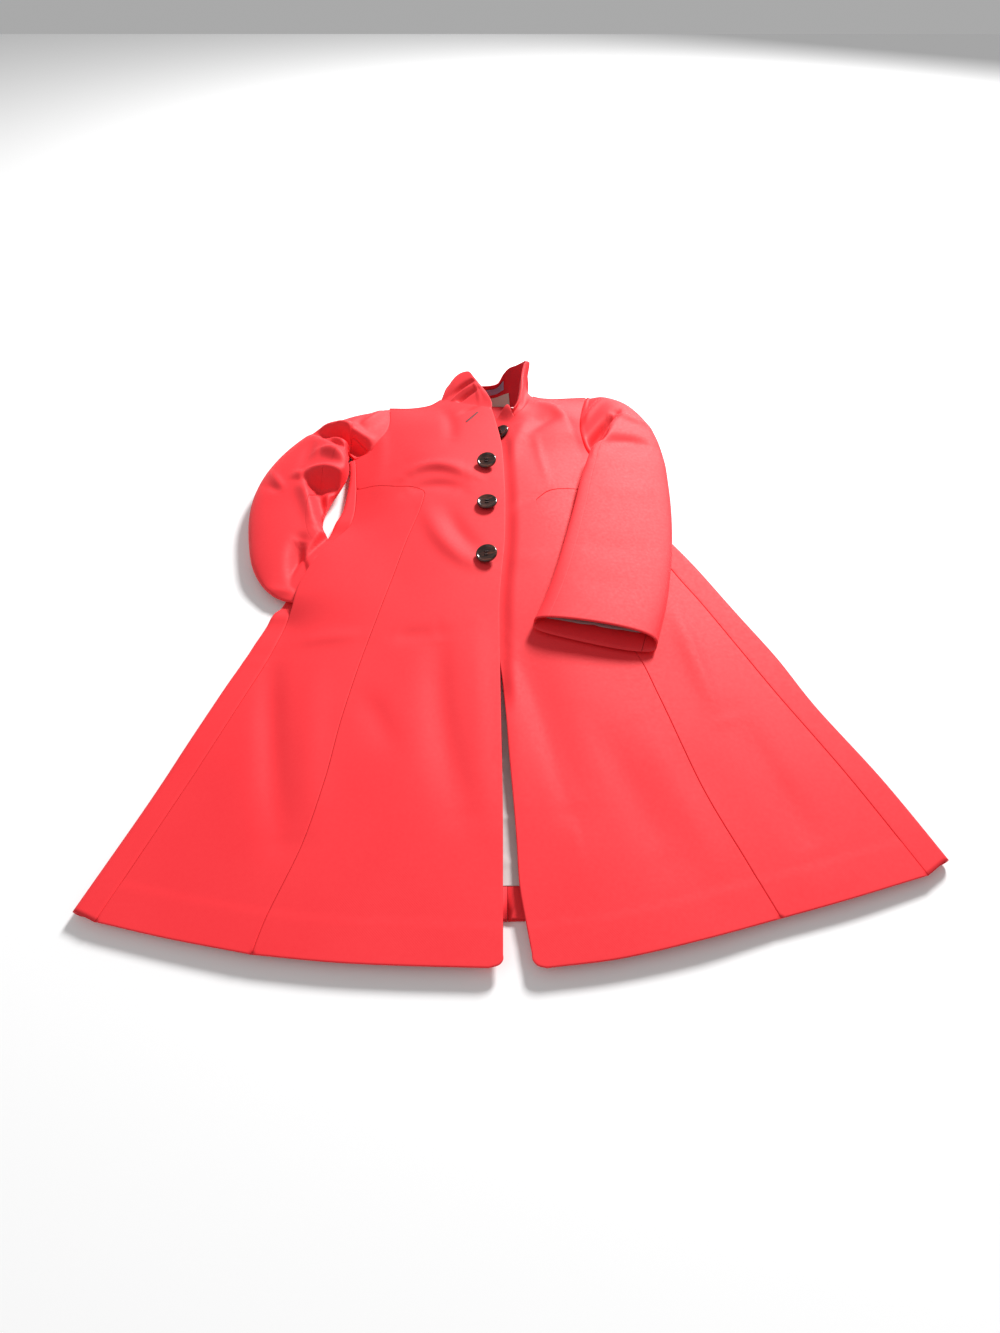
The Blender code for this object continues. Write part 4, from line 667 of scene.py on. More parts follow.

# %% [markdown]
# The same group serves every cloth and thread. The crepe, its inside facing and the tape differ in
# colour and in how coarse they are; the facing is the crepe coloured darker, as painted shade
# inside the neck. Sheen is a plain number on the shader: it is what makes wool look paler where it
# turns away. The satin has less roughness instead, so its creases shine.

# %% The cloths
def cloth_material(name, colour, deep, threads, uneven, pebble, relief, settings):
    """A woven cloth: two tones, threads per metre and turn, and how deep its relief is."""
    mat, tree, shader = new_material(name)
    weave = add_node(tree, "ShaderNodeGroup", -600, 0, node_tree=WEAVE)
    weave.inputs["Colour"].default_value = (*colour, 1.0)
    weave.inputs["Deep Colour"].default_value = (*deep, 1.0)
    weave.inputs["Threads"].default_value = threads
    weave.inputs["Unevenness"].default_value = uneven
    weave.inputs["Pebble"].default_value = pebble
    bump = add_node(tree, "ShaderNodeBump", -250, -300)
    bump.inputs["Distance"].default_value = relief
    bump.inputs["Strength"].default_value = 0.5
    tree.links.new(weave.outputs["Height"], bump.inputs["Height"])
    tree.links.new(bump.outputs["Normal"], shader.inputs["Normal"])
    tree.links.new(weave.outputs["Colour"], shader.inputs["Base Color"])
    for key, value in settings.items():
        shader.inputs[key].default_value = value
    if "Roughness" not in settings:
        tree.links.new(weave.outputs["Roughness"], shader.inputs["Roughness"])
    return mat


SOFT_SHEEN = {"Sheen Weight": 0.10, "Sheen Roughness": 0.40, "Sheen Tint": (1.0, 0.45, 0.50, 1.0),
              "Specular IOR Level": 0.36}
COAT = cloth_material("coral_crepe", (0.92, 0.034, 0.044), (0.84, 0.012, 0.022),
                      2600.0, 0.70, 0.5, 0.00012, SOFT_SHEEN)
# The facing is the coat's crepe in a darker colour: painted shade for the inside of the neck and
# collar.
FACING_PAINTED_SHADE = cloth_material("coral_facing_painted_shade", (0.72, 0.008, 0.022), (0.60, 0.003, 0.012),
                        2600.0, 0.35, 0.5, 0.00012, SOFT_SHEEN)
SATIN = cloth_material("lining_satin", (0.76, 0.71, 0.69), (0.60, 0.54, 0.53), 5200.0, 0.5, 0.2,
                       0.00004, {"Roughness": 0.34, "Sheen Weight": 0.1})
# The lining in the cuff is the same satin coloured darker, as painted shade inside the sleeve.
SHADED_SATIN = cloth_material("cuff_satin_painted_shade", (0.42, 0.30, 0.30), (0.30, 0.20, 0.20), 5200.0, 0.5,
                              0.2, 0.00004, {"Roughness": 0.40})
TAPE = cloth_material("loop_tape", (0.36, 0.30, 0.42), (0.22, 0.17, 0.26), 3800.0, 0.5, 0.6,
                      0.0001, {"Roughness": 0.55, "Sheen Weight": 0.2})
LABEL_CLOTH = cloth_material("label_cloth", (0.62, 0.54, 0.46), (0.50, 0.43, 0.36), 4600.0, 0.6,
                             0.4, 0.00008, {"Roughness": 0.5, "Sheen Weight": 0.15})
print("cloths:", [mat.name for mat in (COAT, FACING_PAINTED_SHADE, SATIN, SHADED_SATIN, TAPE, LABEL_CLOTH)])

# %% [markdown]
# The buttons are dark horn: brown and nearly black in streaks, polished so that lamps show as
# small highlights. Streaks come from noise stretched along one direction, through a colour ramp.

# %% Horn and thread
def horn_material():
    mat, tree, shader = new_material("polished_horn")
    place = add_node(tree, "ShaderNodeTexCoord", -1100, 0)
    stretch = add_node(tree, "ShaderNodeMapping", -900, 0)
    stretch.inputs["Scale"].default_value = (60.0, 210.0, 120.0)
    stretch.inputs["Rotation"].default_value = (0.0, 0.0, 0.6)
    streaks = add_node(tree, "ShaderNodeTexNoise", -700, 0)
    streaks.inputs["Scale"].default_value = 1.0
    streaks.inputs["Detail"].default_value = 5.0
    streaks.inputs["Distortion"].default_value = 0.8
    ramp = add_node(tree, "ShaderNodeValToRGB", -450, 0)
    for stop, (at, colour) in zip((0, 1), ((0.38, (0.014, 0.004, 0.002, 1.0)),
                                           (0.74, (0.170, 0.044, 0.018, 1.0)))):
        ramp.color_ramp.elements[stop].position = at
        ramp.color_ramp.elements[stop].color = colour
    middle = ramp.color_ramp.elements.new(0.56)
    middle.color = (0.055, 0.014, 0.007, 1.0)
    tree.links.new(place.outputs["Object"], stretch.inputs["Vector"])
    tree.links.new(stretch.outputs["Vector"], streaks.inputs["Vector"])
    tree.links.new(streaks.outputs[0], ramp.inputs["Fac"])
    tree.links.new(ramp.outputs["Color"], shader.inputs["Base Color"])
    tree.links.new(maths(tree, "MULTIPLY_ADD", -450, -300, streaks.outputs[0], 0.2, 0.10),
                   shader.inputs["Roughness"])
    shader.inputs["Coat Weight"].default_value = 0.25
    shader.inputs["Coat Roughness"].default_value = 0.12
    return mat


HORN = horn_material()
# Thread for the buttonhole's edges, coloured darker than the coat as painted shade of the
# buttonhole.
SHADED_BUTTONHOLE_THREAD = cloth_material("sewing_thread_painted_shade", (0.45, 0.020, 0.030), (0.25, 0.008, 0.015), 9000.0, 0.4,
                        0.4, 0.00005, {"Roughness": 0.6})
# Near-black thread for the buttons, also used as the painted shade of the buttonhole's open slit.
DARK_THREAD_AND_SLIT_SHADE = cloth_material("button_thread_and_slit_shade", (0.05, 0.020, 0.020), (0.02, 0.010, 0.010), 9000.0,
                             0.4, 0.4, 0.00005, {"Roughness": 0.6})
print("materials:", len(bpy.data.materials))

# %% [markdown]
# ## The five front panels
# Each front is a centre panel and a side panel that meet in a princess seam, and a short seam runs
# out under the bust. Panels that share a seam read the same curve, so they meet exactly, and each
# edge turns down into the seam. `panel` takes the outline as a list of named stretches, because
# a free edge, a seam and a neckline each end in their own way.

# %% A panel from the stretches of its outline
ROUND = {"edge": EDGE_ROUND, "seam": SEAM_ROUND}
PRESSED = 0.00002        # half the gap of a seam that is pressed flat
STEEPEST = 2.5           # beyond this slope the wall isn't thickened any further
HEM_ALLOWANCE = 0.036    # how far up the cloth is double inside the hem
HEM_PRINT = 0.00035      # how much of that edge shows through
HEM_PRINT_FADE = 0.004


def closed_line(outline, a, b):
    """The part of a closed outline from its point a to its point b."""
    return outline[np.arange(a, b + 1) % len(outline)]


def panel(name, stretches, height, collar=None):
    """A wall of the coat's cloth, with a collar grown from one stretch if it has one."""
    gaps = np.concatenate([np.full(len(curve) - 1, PRESSED if kind == "flush" else 0.5 * SEAM_GAP)
                           for curve, kind in stretches])
    outline = inset(np.vstack([curve[:-1] for curve, kind in stretches]), gaps[:, None])
    starts = np.cumsum([0] + [len(curve) - 1 for curve, kind in stretches])
    lines = {}
    for (curve, kind), a, b in zip(stretches, starts, starts[1:]):
        lines.setdefault(kind, []).append(closed_line(outline, a, b))
    hem = lines["edge"][0]

    def layers(at):
        z = height(at)
        drop = CLOTH * np.minimum(slope(height, at), STEEPEST)
        down = np.zeros(len(at))
        for kind, radius in ROUND.items():
            for line in lines.get(kind, []):
                down = np.maximum(down, turned_down(distance_to(at, line), radius))
        up = HEM_PRINT * (1.0 - smooth((distance_to(at, hem) - HEM_ALLOWANCE) / HEM_PRINT_FADE))
        inner = np.column_stack([at, z - drop + INNER_TURN * down])
        return np.column_stack([at, z - down + up]), inner

    xy, faces = filled(outline)
    patches = [(*layers(xy), faces)]
    if collar:
        a, b = collar.pop("stretch") + np.array([0, 1])
        neck = closed_line(outline, starts[a], starts[b])
        patches.append(grown_collar(*layers(neck), neck, height, **collar))
    obj = sewn(name, patches, COAT)
    print(name, len(obj.data.polygons), "faces")
    return obj


print("ways for a stretch to end:", [*ROUND, "flush", "neck"])

# %% [markdown]
# ## The funnel collar
# The collar is cut in one with each front, so no seam shows at the neck: the cloth simply turns up.
# Each row of points leaves the neckline in the direction the front already has there, bends upwards
# and ends at the rim. A double rim is rounded over, because cloth and facing are turned inside out.

# %% Cloth that grows from a neckline up to a rim
COLLAR_ROWS = 34
COLLAR_TURN = 0.75       # how long the cloth keeps the front's direction before it rises
DENT_RISE = 12.0         # a crease in it has its full depth after a twelfth of the way up
DENT_END, DENT_FADE = 0.70, 0.25  # and fades from there, over this share of the way


def normals_of(grid):
    n = np.cross(np.gradient(grid, axis=0), np.gradient(grid, axis=1))
    return n / (np.linalg.norm(n, axis=-1, keepdims=True) + 1e-12)


def rim_rounding(t, length, half):
    """The share of the full thickness left at each height, which closes over the rim."""
    below = np.clip((1.0 - t) * length / half, 0.0, 1.0)
    return np.sqrt(np.maximum(1.0 - (1.0 - below)**2, 0.004))


def rows_to_rim():
    """Shares of the way up, closer together at the rim, where the edge turns over."""
    return np.concatenate([np.linspace(0.0, 0.94, COLLAR_ROWS), [0.965, 0.982, 0.992, 0.998, 1.0]])


def grown_collar(neck_outer, neck_inner, neck, height, rim, bow, creases):
    """The collar's outer and inner points and its faces, from the neckline to the rim."""
    t = rows_to_rim()[None, :, None]
    start = 0.5 * (neck_outer + neck_inner)
    chord = rim - start
    length = np.linalg.norm(chord, axis=1)[:, None]
    along = np.gradient(neck, axis=0)
    out = np.stack([along[:, 1], -along[:, 0]], axis=1)
    out /= np.linalg.norm(out, axis=1)[:, None]
    rise = (height(neck + 0.001 * out) - height(neck - 0.001 * out)) / 0.002
    leave = np.column_stack([out, rise])
    leave /= np.linalg.norm(leave, axis=1)[:, None]
    middle = start[:, None] * (1 - t) + rim[:, None] * t
    middle += (COLLAR_TURN * t * (1 - t)**2) * (leave * length - chord)[:, None]
    n = normals_of(middle)
    n = n * np.sign((n * (neck_outer - neck_inner)[:, None]).sum())
    middle = middle + bow * np.sin(np.pi * t) * n
    n = normals_of(middle) * np.sign((normals_of(middle) * n).sum(-1, keepdims=True))
    dent = fold_height(middle.reshape(-1, 3)[:, :2], creases).reshape(middle.shape[:2])
    way = t[..., 0]
    reach = smooth(way * DENT_RISE) * (1.0 - smooth((way - DENT_END) / DENT_FADE))
    middle = middle + (dent * reach)[..., None] * n
    half = 0.5 * (CLOTH + (COLLAR_CLOTH - CLOTH) * smooth(3.0 * t))
    half = half * rim_rounding(t, length[:, None], half)
    outer, inner = middle + half * n, middle - half * n
    keep = 1.0 - smooth(t * 8.0)
    outer += keep * (neck_outer - outer[:, 0])[:, None]
    inner += keep * (neck_inner - inner[:, 0])[:, None]
    quads = grid_faces(*outer.shape[:2])
    facing = np.cross(outer[0, 1] - outer[0, 0], outer[1, 0] - outer[0, 0])
    if np.dot(facing, n[0, 0]) < 0:
        quads = turned_over(quads)
    return outer.reshape(-1, 3), inner.reshape(-1, 3), quads


print("rows of points up the collar:", len(rows_to_rim()))

# %% [markdown]
# These marks are the collar's rim, in the middle of its cloth. The fronts' collars are grown on, so
# they start from the neckline. The back one is its own piece and has its lower edge here as well.

# %% The collar's rims
COLLAR_RIGHT = [
    (-0.0319, 0.9260, 0.0505), (-0.0440, 0.9480, 0.0545), (-0.0515, 0.9655, 0.0555),
    (-0.0590, 0.9711, 0.0535), (-0.0690, 0.9719, 0.0495), (-0.0785, 0.9665, 0.0440),
    (-0.0880, 0.9585, 0.0340),
]
COLLAR_LEFT = [
    (0.0225, 0.8640, 0.0475), (0.0315, 0.8830, 0.0530), (0.0370, 0.9140, 0.0600),
    (0.0375, 0.9440, 0.0655), (0.0410, 0.9670, 0.0690), (0.0450, 0.9780, 0.0690),
    (0.0500, 0.9800, 0.0660),
]
COLLAR_BACK = [
    dict(base=(-0.0985, 0.9290, 0.0235), rim=(-0.0900, 0.9620, 0.0300)),
    dict(base=(-0.0885, 0.9385, 0.0115), rim=(-0.0760, 0.9620, 0.0365)),
    dict(base=(-0.0700, 0.9420, 0.0030), rim=(-0.0560, 0.9600, 0.0375)),
    dict(base=(-0.0450, 0.9452, 0.0012), rim=(-0.0298, 0.9560, 0.0358)),
    dict(base=(-0.0150, 0.9456, 0.0010), rim=(-0.0048, 0.9640, 0.0359)),
    dict(base=(0.0080, 0.9456, 0.0014), rim=(0.0058, 0.9780, 0.0460)),
    dict(base=(0.0270, 0.9430, 0.0050), rim=(0.0158, 0.9850, 0.0531)),
    dict(base=(0.0375, 0.9410, 0.0125), rim=(0.0290, 0.9850, 0.0585)),
    dict(base=(0.0455, 0.9350, 0.0220), rim=(0.0440, 0.9835, 0.0672)),
]
print("the collar's highest point:", max(z for x, y, z in COLLAR_LEFT), "m")

# %% [markdown]
# Now the four front panels can be sewn from their seams, anticlockwise from the hem. The left
# princess seam is pressed flat where the sleeve lies on it. The collars have creases of their own,
# which dent them along their own normals, because there the cloth stands up.

# %% The fronts and their collars
NECK_STEPS = 44
FLUSH_FROM = 7           # the point of the left princess seam above which it lies flat
COLLAR_BOW = dict(right=0.0030, left=-0.0035, back=0.0045)
CREASES_COLLAR_RIGHT = [
    (((-0.088, 0.914), (-0.067, 0.940), (-0.041, 0.940)), -0.0060, 0.0045, 0.0050),
    (((-0.086, 0.902), (-0.065, 0.927), (-0.038, 0.930)), 0.0020, 0.0030, 0.0030),
    (((-0.082, 0.887), (-0.062, 0.912), (-0.036, 0.918)), -0.0060, 0.0045, 0.0050),
]
CREASES_COLLAR_LEFT = [
    (((0.035, 0.830), (0.044, 0.898), (0.041, 0.979)), -0.0020, 0.005, 0.006),
]


def seam(curve):
    return spaced(curve, EDGE_STEP), "seam"


def flush(curve):
    """A seam pressed so flat that it hardly shows."""
    return spaced(curve, EDGE_STEP), "flush"


def edge(curve, step=EDGE_STEP):
    return spaced(curve, step), "edge"


panel("cloth_front_right", [
    edge(HEM_FRONT_RIGHT), edge(CORNER_RIGHT, 0.0015), edge(FRONT_EDGE_RIGHT),
    (matched(NECKLINE_RIGHT, NECK_STEPS), "neck"), seam(SHOULDER_RIGHT), seam(ARMHOLE_RIGHT),
    seam(CHEST_SIDE_RIGHT[::-1]), seam(UNDERBUST_RIGHT[::-1]), seam(PRINCESS_RIGHT[::-1])],
    height_right, collar=dict(stretch=3, rim=matched(COLLAR_RIGHT, NECK_STEPS),
                              bow=COLLAR_BOW["right"], creases=CREASES_COLLAR_RIGHT))
panel("cloth_front_left", [
    edge(HEM_FRONT_LEFT), seam(PRINCESS_LEFT[:FLUSH_FROM]), flush(PRINCESS_LEFT[FLUSH_FROM - 1:]),
    seam(UNDERBUST_LEFT), seam(CHEST_SIDE_LEFT),
    seam(ARMHOLE_LEFT[::-1]), seam(SHOULDER_LEFT[::-1]),
    (matched(NECKLINE_LEFT[::-1], NECK_STEPS), "neck"), edge(NECK_FLAP_LEFT[::-1], 0.002),
    edge(FRONT_EDGE_LEFT[::-1]), edge(CORNER_LEFT, 0.0015)],
    height_left, collar=dict(stretch=7, rim=matched(COLLAR_LEFT[::-1], NECK_STEPS),
                             bow=COLLAR_BOW["left"], creases=CREASES_COLLAR_LEFT))
panel("cloth_side_front_right", [
    edge(HEM_SIDE_RIGHT), seam(PRINCESS_RIGHT), seam(UNDERBUST_RIGHT), seam(WAIST_RIGHT[::-1]),
    edge(POCKET_MOUTH_RIGHT[::-1]), seam(SIDE_SEAM_RIGHT[::-1])], height_right)
panel("cloth_side_front_left", [
    edge(HEM_SIDE_LEFT), seam(SIDE_SEAM_LEFT), seam(UNDERBUST_LEFT[::-1]),
    flush(PRINCESS_LEFT[:FLUSH_FROM - 2:-1]), seam(PRINCESS_LEFT[FLUSH_FROM - 1::-1])], height_left)

# %% [markdown]
# ## The back
# The back lies flat on the floor and turns up at the sides and shoulders to meet the fronts. Its
# flat part is filled like any panel, and each turned-up strip is a row of sections that roll up
# round a small arc and lie back to the seam.

# %% Strips that turn up
ARC_STEPS, LIE_STEPS = 10, 8
SIDE_BULGE, SHOULDER_BULGE = 0.0060, 0.0045


def turned_strip(fold, seam_line, seam_top, side, bulge):
    """Outer and inner points of a strip that rolls up at the fold and lies back to the seam."""
    along = np.gradient(fold, axis=0)
    out = side * np.stack([along[:, 1], -along[:, 0]], axis=1)
    out /= np.linalg.norm(out, axis=1)[:, None]
    angle = np.linspace(-0.5 * np.pi, 0.5 * np.pi, ARC_STEPS + 1)
    share = np.concatenate([np.linspace(0.0, 0.97, LIE_STEPS)[1:], [0.985, 0.995, 1.0]])
    gap = seam_line - fold
    span = np.linalg.norm(gap, axis=1)[:, None] + 1e-9
    end = seam_line - 0.5 * SEAM_GAP * gap / span
    middle = 0.5 * seam_top
    down = turned_down((1.0 - share)[None] * span, SEAM_ROUND)
    made = []
    for thin, sign in ((0.0, -1.0), (CLOTH, INNER_TURN)):
        rise = (middle - thin)[:, None]
        reach = (np.minimum(middle, bulge) - thin)[:, None]
        arc = fold[:, None] + out[:, None] * (reach * np.cos(angle))[..., None]
        arc = np.concatenate([arc, (middle[:, None] + rise * np.sin(angle))[..., None]], axis=2)
        lie = fold[:, None] + (end - fold)[:, None] * share[None, :, None]
        top = middle[:, None] + rise + sign * down
        made.append(np.concatenate([arc, np.concatenate([lie, top[..., None]], axis=2)], axis=1))
    return made


print("points across a turned-up strip:", ARC_STEPS + 1 + LIE_STEPS + 2)

# %% [markdown]
# A half of the back is its flat part and its strips sewn into one wall. Where the pocket's mouth
# is, the strip stays low, because the sleeve lies on it and goes in above it.

# %% A half of the back
FLAT_STEP = 0.014        # the flat part needs no fine triangles
POCKET_BAND = (0.428, 0.612)  # from where to where up the side the pocket's mouth lies
POCKET_STRIP_TOP = 0.0070  # the back seam lies this low there, under the sleeve
POCKET_RAMP = (0.02, 0.03)  # how far inside the mouth's ends it starts to rise, over what


def back_half(name, outline, strips):
    flat, faces = filled(outline, FLAT_STEP, ())
    level = np.column_stack([flat, np.zeros(len(flat))])
    patches = [(level, level + (0, 0, CLOTH), turned_over(faces))]
    for outer, inner in strips:
        quads = grid_faces(*outer.shape[:2])
        facing = np.cross(outer[1, 0] - outer[0, 0], outer[0, 1] - outer[0, 0])
        if facing[2] < 0:
            quads = turned_over(quads)
        patches.append((outer.reshape(-1, 3), inner.reshape(-1, 3), quads))
    return sewn(name, patches, COAT)


def pocket_cap(points, top):
    """Along the pocket's mouth the back strip lies low, under the sleeve that goes in."""
    middle, half = sum(POCKET_BAND) / 2, (POCKET_BAND[1] - POCKET_BAND[0]) / 2
    start, ramp = POCKET_RAMP
    inside = 1.0 - smooth((np.abs(points[:, 1] - middle) - half + start) / ramp)
    return top * (1.0 - inside) + np.minimum(top, POCKET_STRIP_TOP) * inside


def along_fold(fold, seam_line):
    """Points of the fold line, one beside each point of the seam."""
    steps = np.linalg.norm(np.diff(seam_line, axis=0), axis=1)
    lengths = np.concatenate([[0.0], np.cumsum(steps)])
    fine = spaced(fold, 0.004)
    return read_off(lengths, np.linspace(0.0, lengths[-1], len(fine)), fine)


print("the pocket's mouth is", round(POCKET_BAND[1] - POCKET_BAND[0], 3), "m long")

# %% [markdown]
# Each half takes its outline in one round: fold, hem, centre, neck, shoulder, armhole. The seam
# lines come from the fronts' own marks and heights, so front and back meet all along the side.

# %% The two halves of the back
CENTRE_GAP = np.array([0.5 * SEAM_GAP, 0.0])
SHOULDER_SETBACK = (0.0, 0.0015)

seam_line = joined(*(spaced(c, EDGE_STEP) for c in (
    SIDE_SEAM_RIGHT, POCKET_MOUTH_RIGHT, WAIST_RIGHT, CHEST_SIDE_RIGHT)))
fold = along_fold(FOLD_RIGHT, seam_line)
shoulder = spaced(SHOULDER_RIGHT, EDGE_STEP)
back_half("cloth_back_right", np.vstack([
    fold[:1], matched(BACK_HEM_RIGHT[::-1], 60)[1:-1], matched(BACK_CENTRE, 90) - CENTRE_GAP,
    matched(BACK_NECK_RIGHT[::-1], 20)[1:-1], shoulder + SHOULDER_SETBACK,
    spaced(ARMHOLE_RIGHT, EDGE_STEP)[1:], fold[:0:-1]]), [
    turned_strip(fold, seam_line, pocket_cap(seam_line, height_right(seam_line)), -1, SIDE_BULGE),
    turned_strip(shoulder + SHOULDER_SETBACK, shoulder, height_right(shoulder), 1, SHOULDER_BULGE)])

seam_line = joined(spaced(SIDE_SEAM_LEFT, EDGE_STEP), spaced(CHEST_SIDE_LEFT, EDGE_STEP))
fold = along_fold(FOLD_LEFT, seam_line)
shoulder = spaced(SHOULDER_LEFT, EDGE_STEP)
back_half("cloth_back_left", np.vstack([
    matched(BACK_CENTRE[::-1], 90) + CENTRE_GAP, matched(BACK_HEM_LEFT, 60)[1:-1], fold,
    spaced(ARMHOLE_LEFT[::-1], EDGE_STEP)[:-1], (shoulder + SHOULDER_SETBACK)[::-1],
    matched(BACK_NECK_LEFT[::-1], 20)[1:-1]]), [
    turned_strip(fold, seam_line, height_left(seam_line), 1, SIDE_BULGE),
    turned_strip(shoulder + SHOULDER_SETBACK, shoulder, height_left(shoulder), -1,
                 SHOULDER_BULGE)])

# %% [markdown]
# ## What shows inside
# Through the front opening one sees the hem's turned-up band, a grey satin lining that has creased
# across, and at the neck a facing of the coat's own cloth. They lie flat on the back, so each is a
# filled outline at its own height. The creases come from the same kind of table as the folds.

# %% A flat piece, and the lining's creases
LINING_CREASES = [
    (((-0.012, 0.262), (0.004, 0.268), (0.022, 0.260)), 0.0014, 0.0030, 0.0050),
    (((-0.008, 0.222), (0.006, 0.216), (0.026, 0.222)), 0.0018, 0.0024, 0.0050),
    (((-0.010, 0.196), (0.008, 0.200), (0.024, 0.190)), 0.0012, 0.0040, 0.0024),
    (((-0.012, 0.150), (0.008, 0.146), (0.030, 0.152)), 0.0018, 0.0050, 0.0022),
    (((-0.012, 0.103), (0.006, 0.100), (0.030, 0.104)), 0.0010, 0.0040, 0.0030),
    (((0.002, 0.300), (0.003, 0.200), (0.008, 0.060)), 0.0010, 0.0050, 0.0040),
]


def flat_piece(name, outline, low, thickness, mat, step, creases=()):
    xy, faces = filled(outline, step, (0.0003, 0.0009))
    down = turned_down(distance_to(xy, np.vstack([outline, outline[:1]])), 0.45 * thickness)
    top = np.column_stack([xy, low + thickness - down + fold_height(xy, creases)])
    bottom = np.column_stack([xy, low + down + fold_height(xy, creases)])
    return wall(name, top, bottom, faces, mat)


print("creases across the lining:", len(LINING_CREASES))

# %% [markdown]
# The hem bands are the back's own hem line, set back a little and repeated higher up. The lining
# starts where they end and keeps clear of the turned-up sides, and the facing closes the neck.

# %% Hem bands, lining and neck facing
HEM_TURNUP = 0.0310      # height of the inner hem that shows in the front opening
HEM_SETBACK = (0.0, 0.0012)
MEETING_GAP = (0.0, 0.0006)  # between the bands, the lining and the facing
SIDE_CLEAR = (0.014, 0.0)    # from the lining to the folds at the sides
BAND_STEP, LINING_STEP, FACING_STEP = 0.008, 0.0055, 0.006  # sides of their triangles

low = CLOTH + LAYER_GAP
rise = np.array([0.0, HEM_TURNUP])
hem_right = matched(BACK_HEM_RIGHT, 90)[:-2] + HEM_SETBACK
hem_left = matched(BACK_HEM_LEFT, 90)[:-2] + HEM_SETBACK
flat_piece("cloth_hem_band_right", np.vstack([
    hem_right[::-1] - CENTRE_GAP, hem_right + rise - CENTRE_GAP]), low, CLOTH, COAT, BAND_STEP)
flat_piece("cloth_hem_band_left", np.vstack([
    hem_left + CENTRE_GAP, hem_left[::-1] + rise + CENTRE_GAP]), low, CLOTH, COAT, BAND_STEP)
LINING_TOP = [(0.140, 0.744), (0.126, 0.776), (0.119, 0.812), (0.116, 0.850), (0.060, 0.884),
              (-0.018, 0.890), (-0.100, 0.884), (-0.150, 0.850), (-0.170, 0.790)]
flat_piece("cloth_back_lining", np.vstack([
    np.vstack([hem_right[::-1], hem_left[1:]]) + rise + MEETING_GAP,
    spaced(FOLD_LEFT, 0.02)[1:] - SIDE_CLEAR, np.array(LINING_TOP),
    spaced(FOLD_RIGHT, 0.02)[:0:-1] + SIDE_CLEAR]), low, LINING, SATIN, LINING_STEP,
    LINING_CREASES)
NECK_FACING = [(0.056, 0.8860), (0.052, 0.9130), (0.036, 0.9320), (0.015, 0.9430),
               (-0.018, 0.9440), (-0.050, 0.9420), (-0.080, 0.9300), (-0.094, 0.9140),
               (-0.096, 0.8862), (-0.018, 0.8912)]
# The neck facing is coloured darker than the coat as painted shade.
flat_piece("cloth_neck_facing", np.array(NECK_FACING) + MEETING_GAP, low, CLOTH, FACING_PAINTED_SHADE,
           FACING_STEP)
print("the lining starts", round(HEM_TURNUP + HEM_SETBACK[1], 4), "m above the back's hem")

# %% [markdown]
# ## The back of the collar, its loop and its label
# Behind the neck the collar stands up from the back, inside facing the viewer. A tape loop for
# hanging the coat and a plain woven label are sewn to its inside, so both are made from the
# collar's own points, moved out towards the neck.

# %% Back collar
BACK_STEPS = 90


def back_collar_grid(t):
    """The back collar's middle surface and its normals, which point to the inside of the neck."""
    base = matched([row["base"] for row in COLLAR_BACK], BACK_STEPS)
    rim = matched([row["rim"] for row in COLLAR_BACK], BACK_STEPS)
    t = t[None, :, None]
    grid = base[:, None] * (1 - t) + rim[:, None] * t
    n = normals_of(grid)
    n *= -np.sign((n.mean((0, 1)) * np.array([0.0, 1.0, -0.3])).sum())
    return grid - COLLAR_BOW["back"] * np.sin(np.pi * t) * n, n


t = rows_to_rim()
grid, n = back_collar_grid(t)
tall = np.linalg.norm(grid[:, -1] - grid[:, 0], axis=1)[:, None]
half = (0.5 * COLLAR_CLOTH * rim_rounding(t[None], tall, 0.5 * COLLAR_CLOTH))[..., None]
quads = grid_faces(*grid.shape[:2])
# Its inside takes the facing's darker colour as painted shade; its outside is the coat's cloth.
collar_back = wall("cloth_collar_back", (grid - half * n).reshape(-1, 3),
                   (grid + half * n).reshape(-1, 3), quads, FACING_PAINTED_SHADE)
collar_back.data.materials.append(COAT)
for polygon in collar_back.data.polygons[:len(quads)]:
    polygon.material_index = 1  # the outside of the collar is the coat's own cloth
print("back collar:", round(float(tall.min()), 3), "to", round(float(tall.max()), 3), "m tall")

# %% [markdown]
# The tape and the label are patches of the collar's inside, moved out by the thickness between.
# Their relief is a formula: the tape stands away between its stitched ends, and the label lies
# double at both ends with a stitched line along them.

# %% Loop and label on the inside of the back collar
LOOP = dict(left=-0.036, right=0.0065, low=0.54, high=0.80)     # x, and shares of the way up
LABEL = dict(left=-0.0160, right=0.0145, low=0.01, high=0.40)
TRIM_THICK = 0.0009
TRIM_LIFT = 0.0008       # how far they lie off the collar


def on_collar(left, right, low, high, columns, rows):
    """A patch of points just off the inside of the back collar, and its normals."""
    ways = np.linspace(0.0, 1.0, 41)
    grid, n = back_collar_grid(ways)
    middle = grid[:, len(ways) // 2, 0]
    patch, normal = np.zeros((columns, rows, 3)), np.zeros((columns, rows, 3))
    for i, x in enumerate(np.linspace(left, right, columns)):
        u = np.interp(x, middle, np.arange(len(grid)))
        r, f = min(int(u), len(grid) - 2), u - int(u)
        for made, source in ((patch, grid), (normal, n)):
            column = source[r] * (1 - f) + source[r + 1] * f
            made[i] = read_off(np.linspace(low, high, rows), ways, column)
    normal /= np.linalg.norm(normal, axis=-1, keepdims=True)
    return patch + (0.5 * COLLAR_CLOTH + TRIM_LIFT) * normal, normal


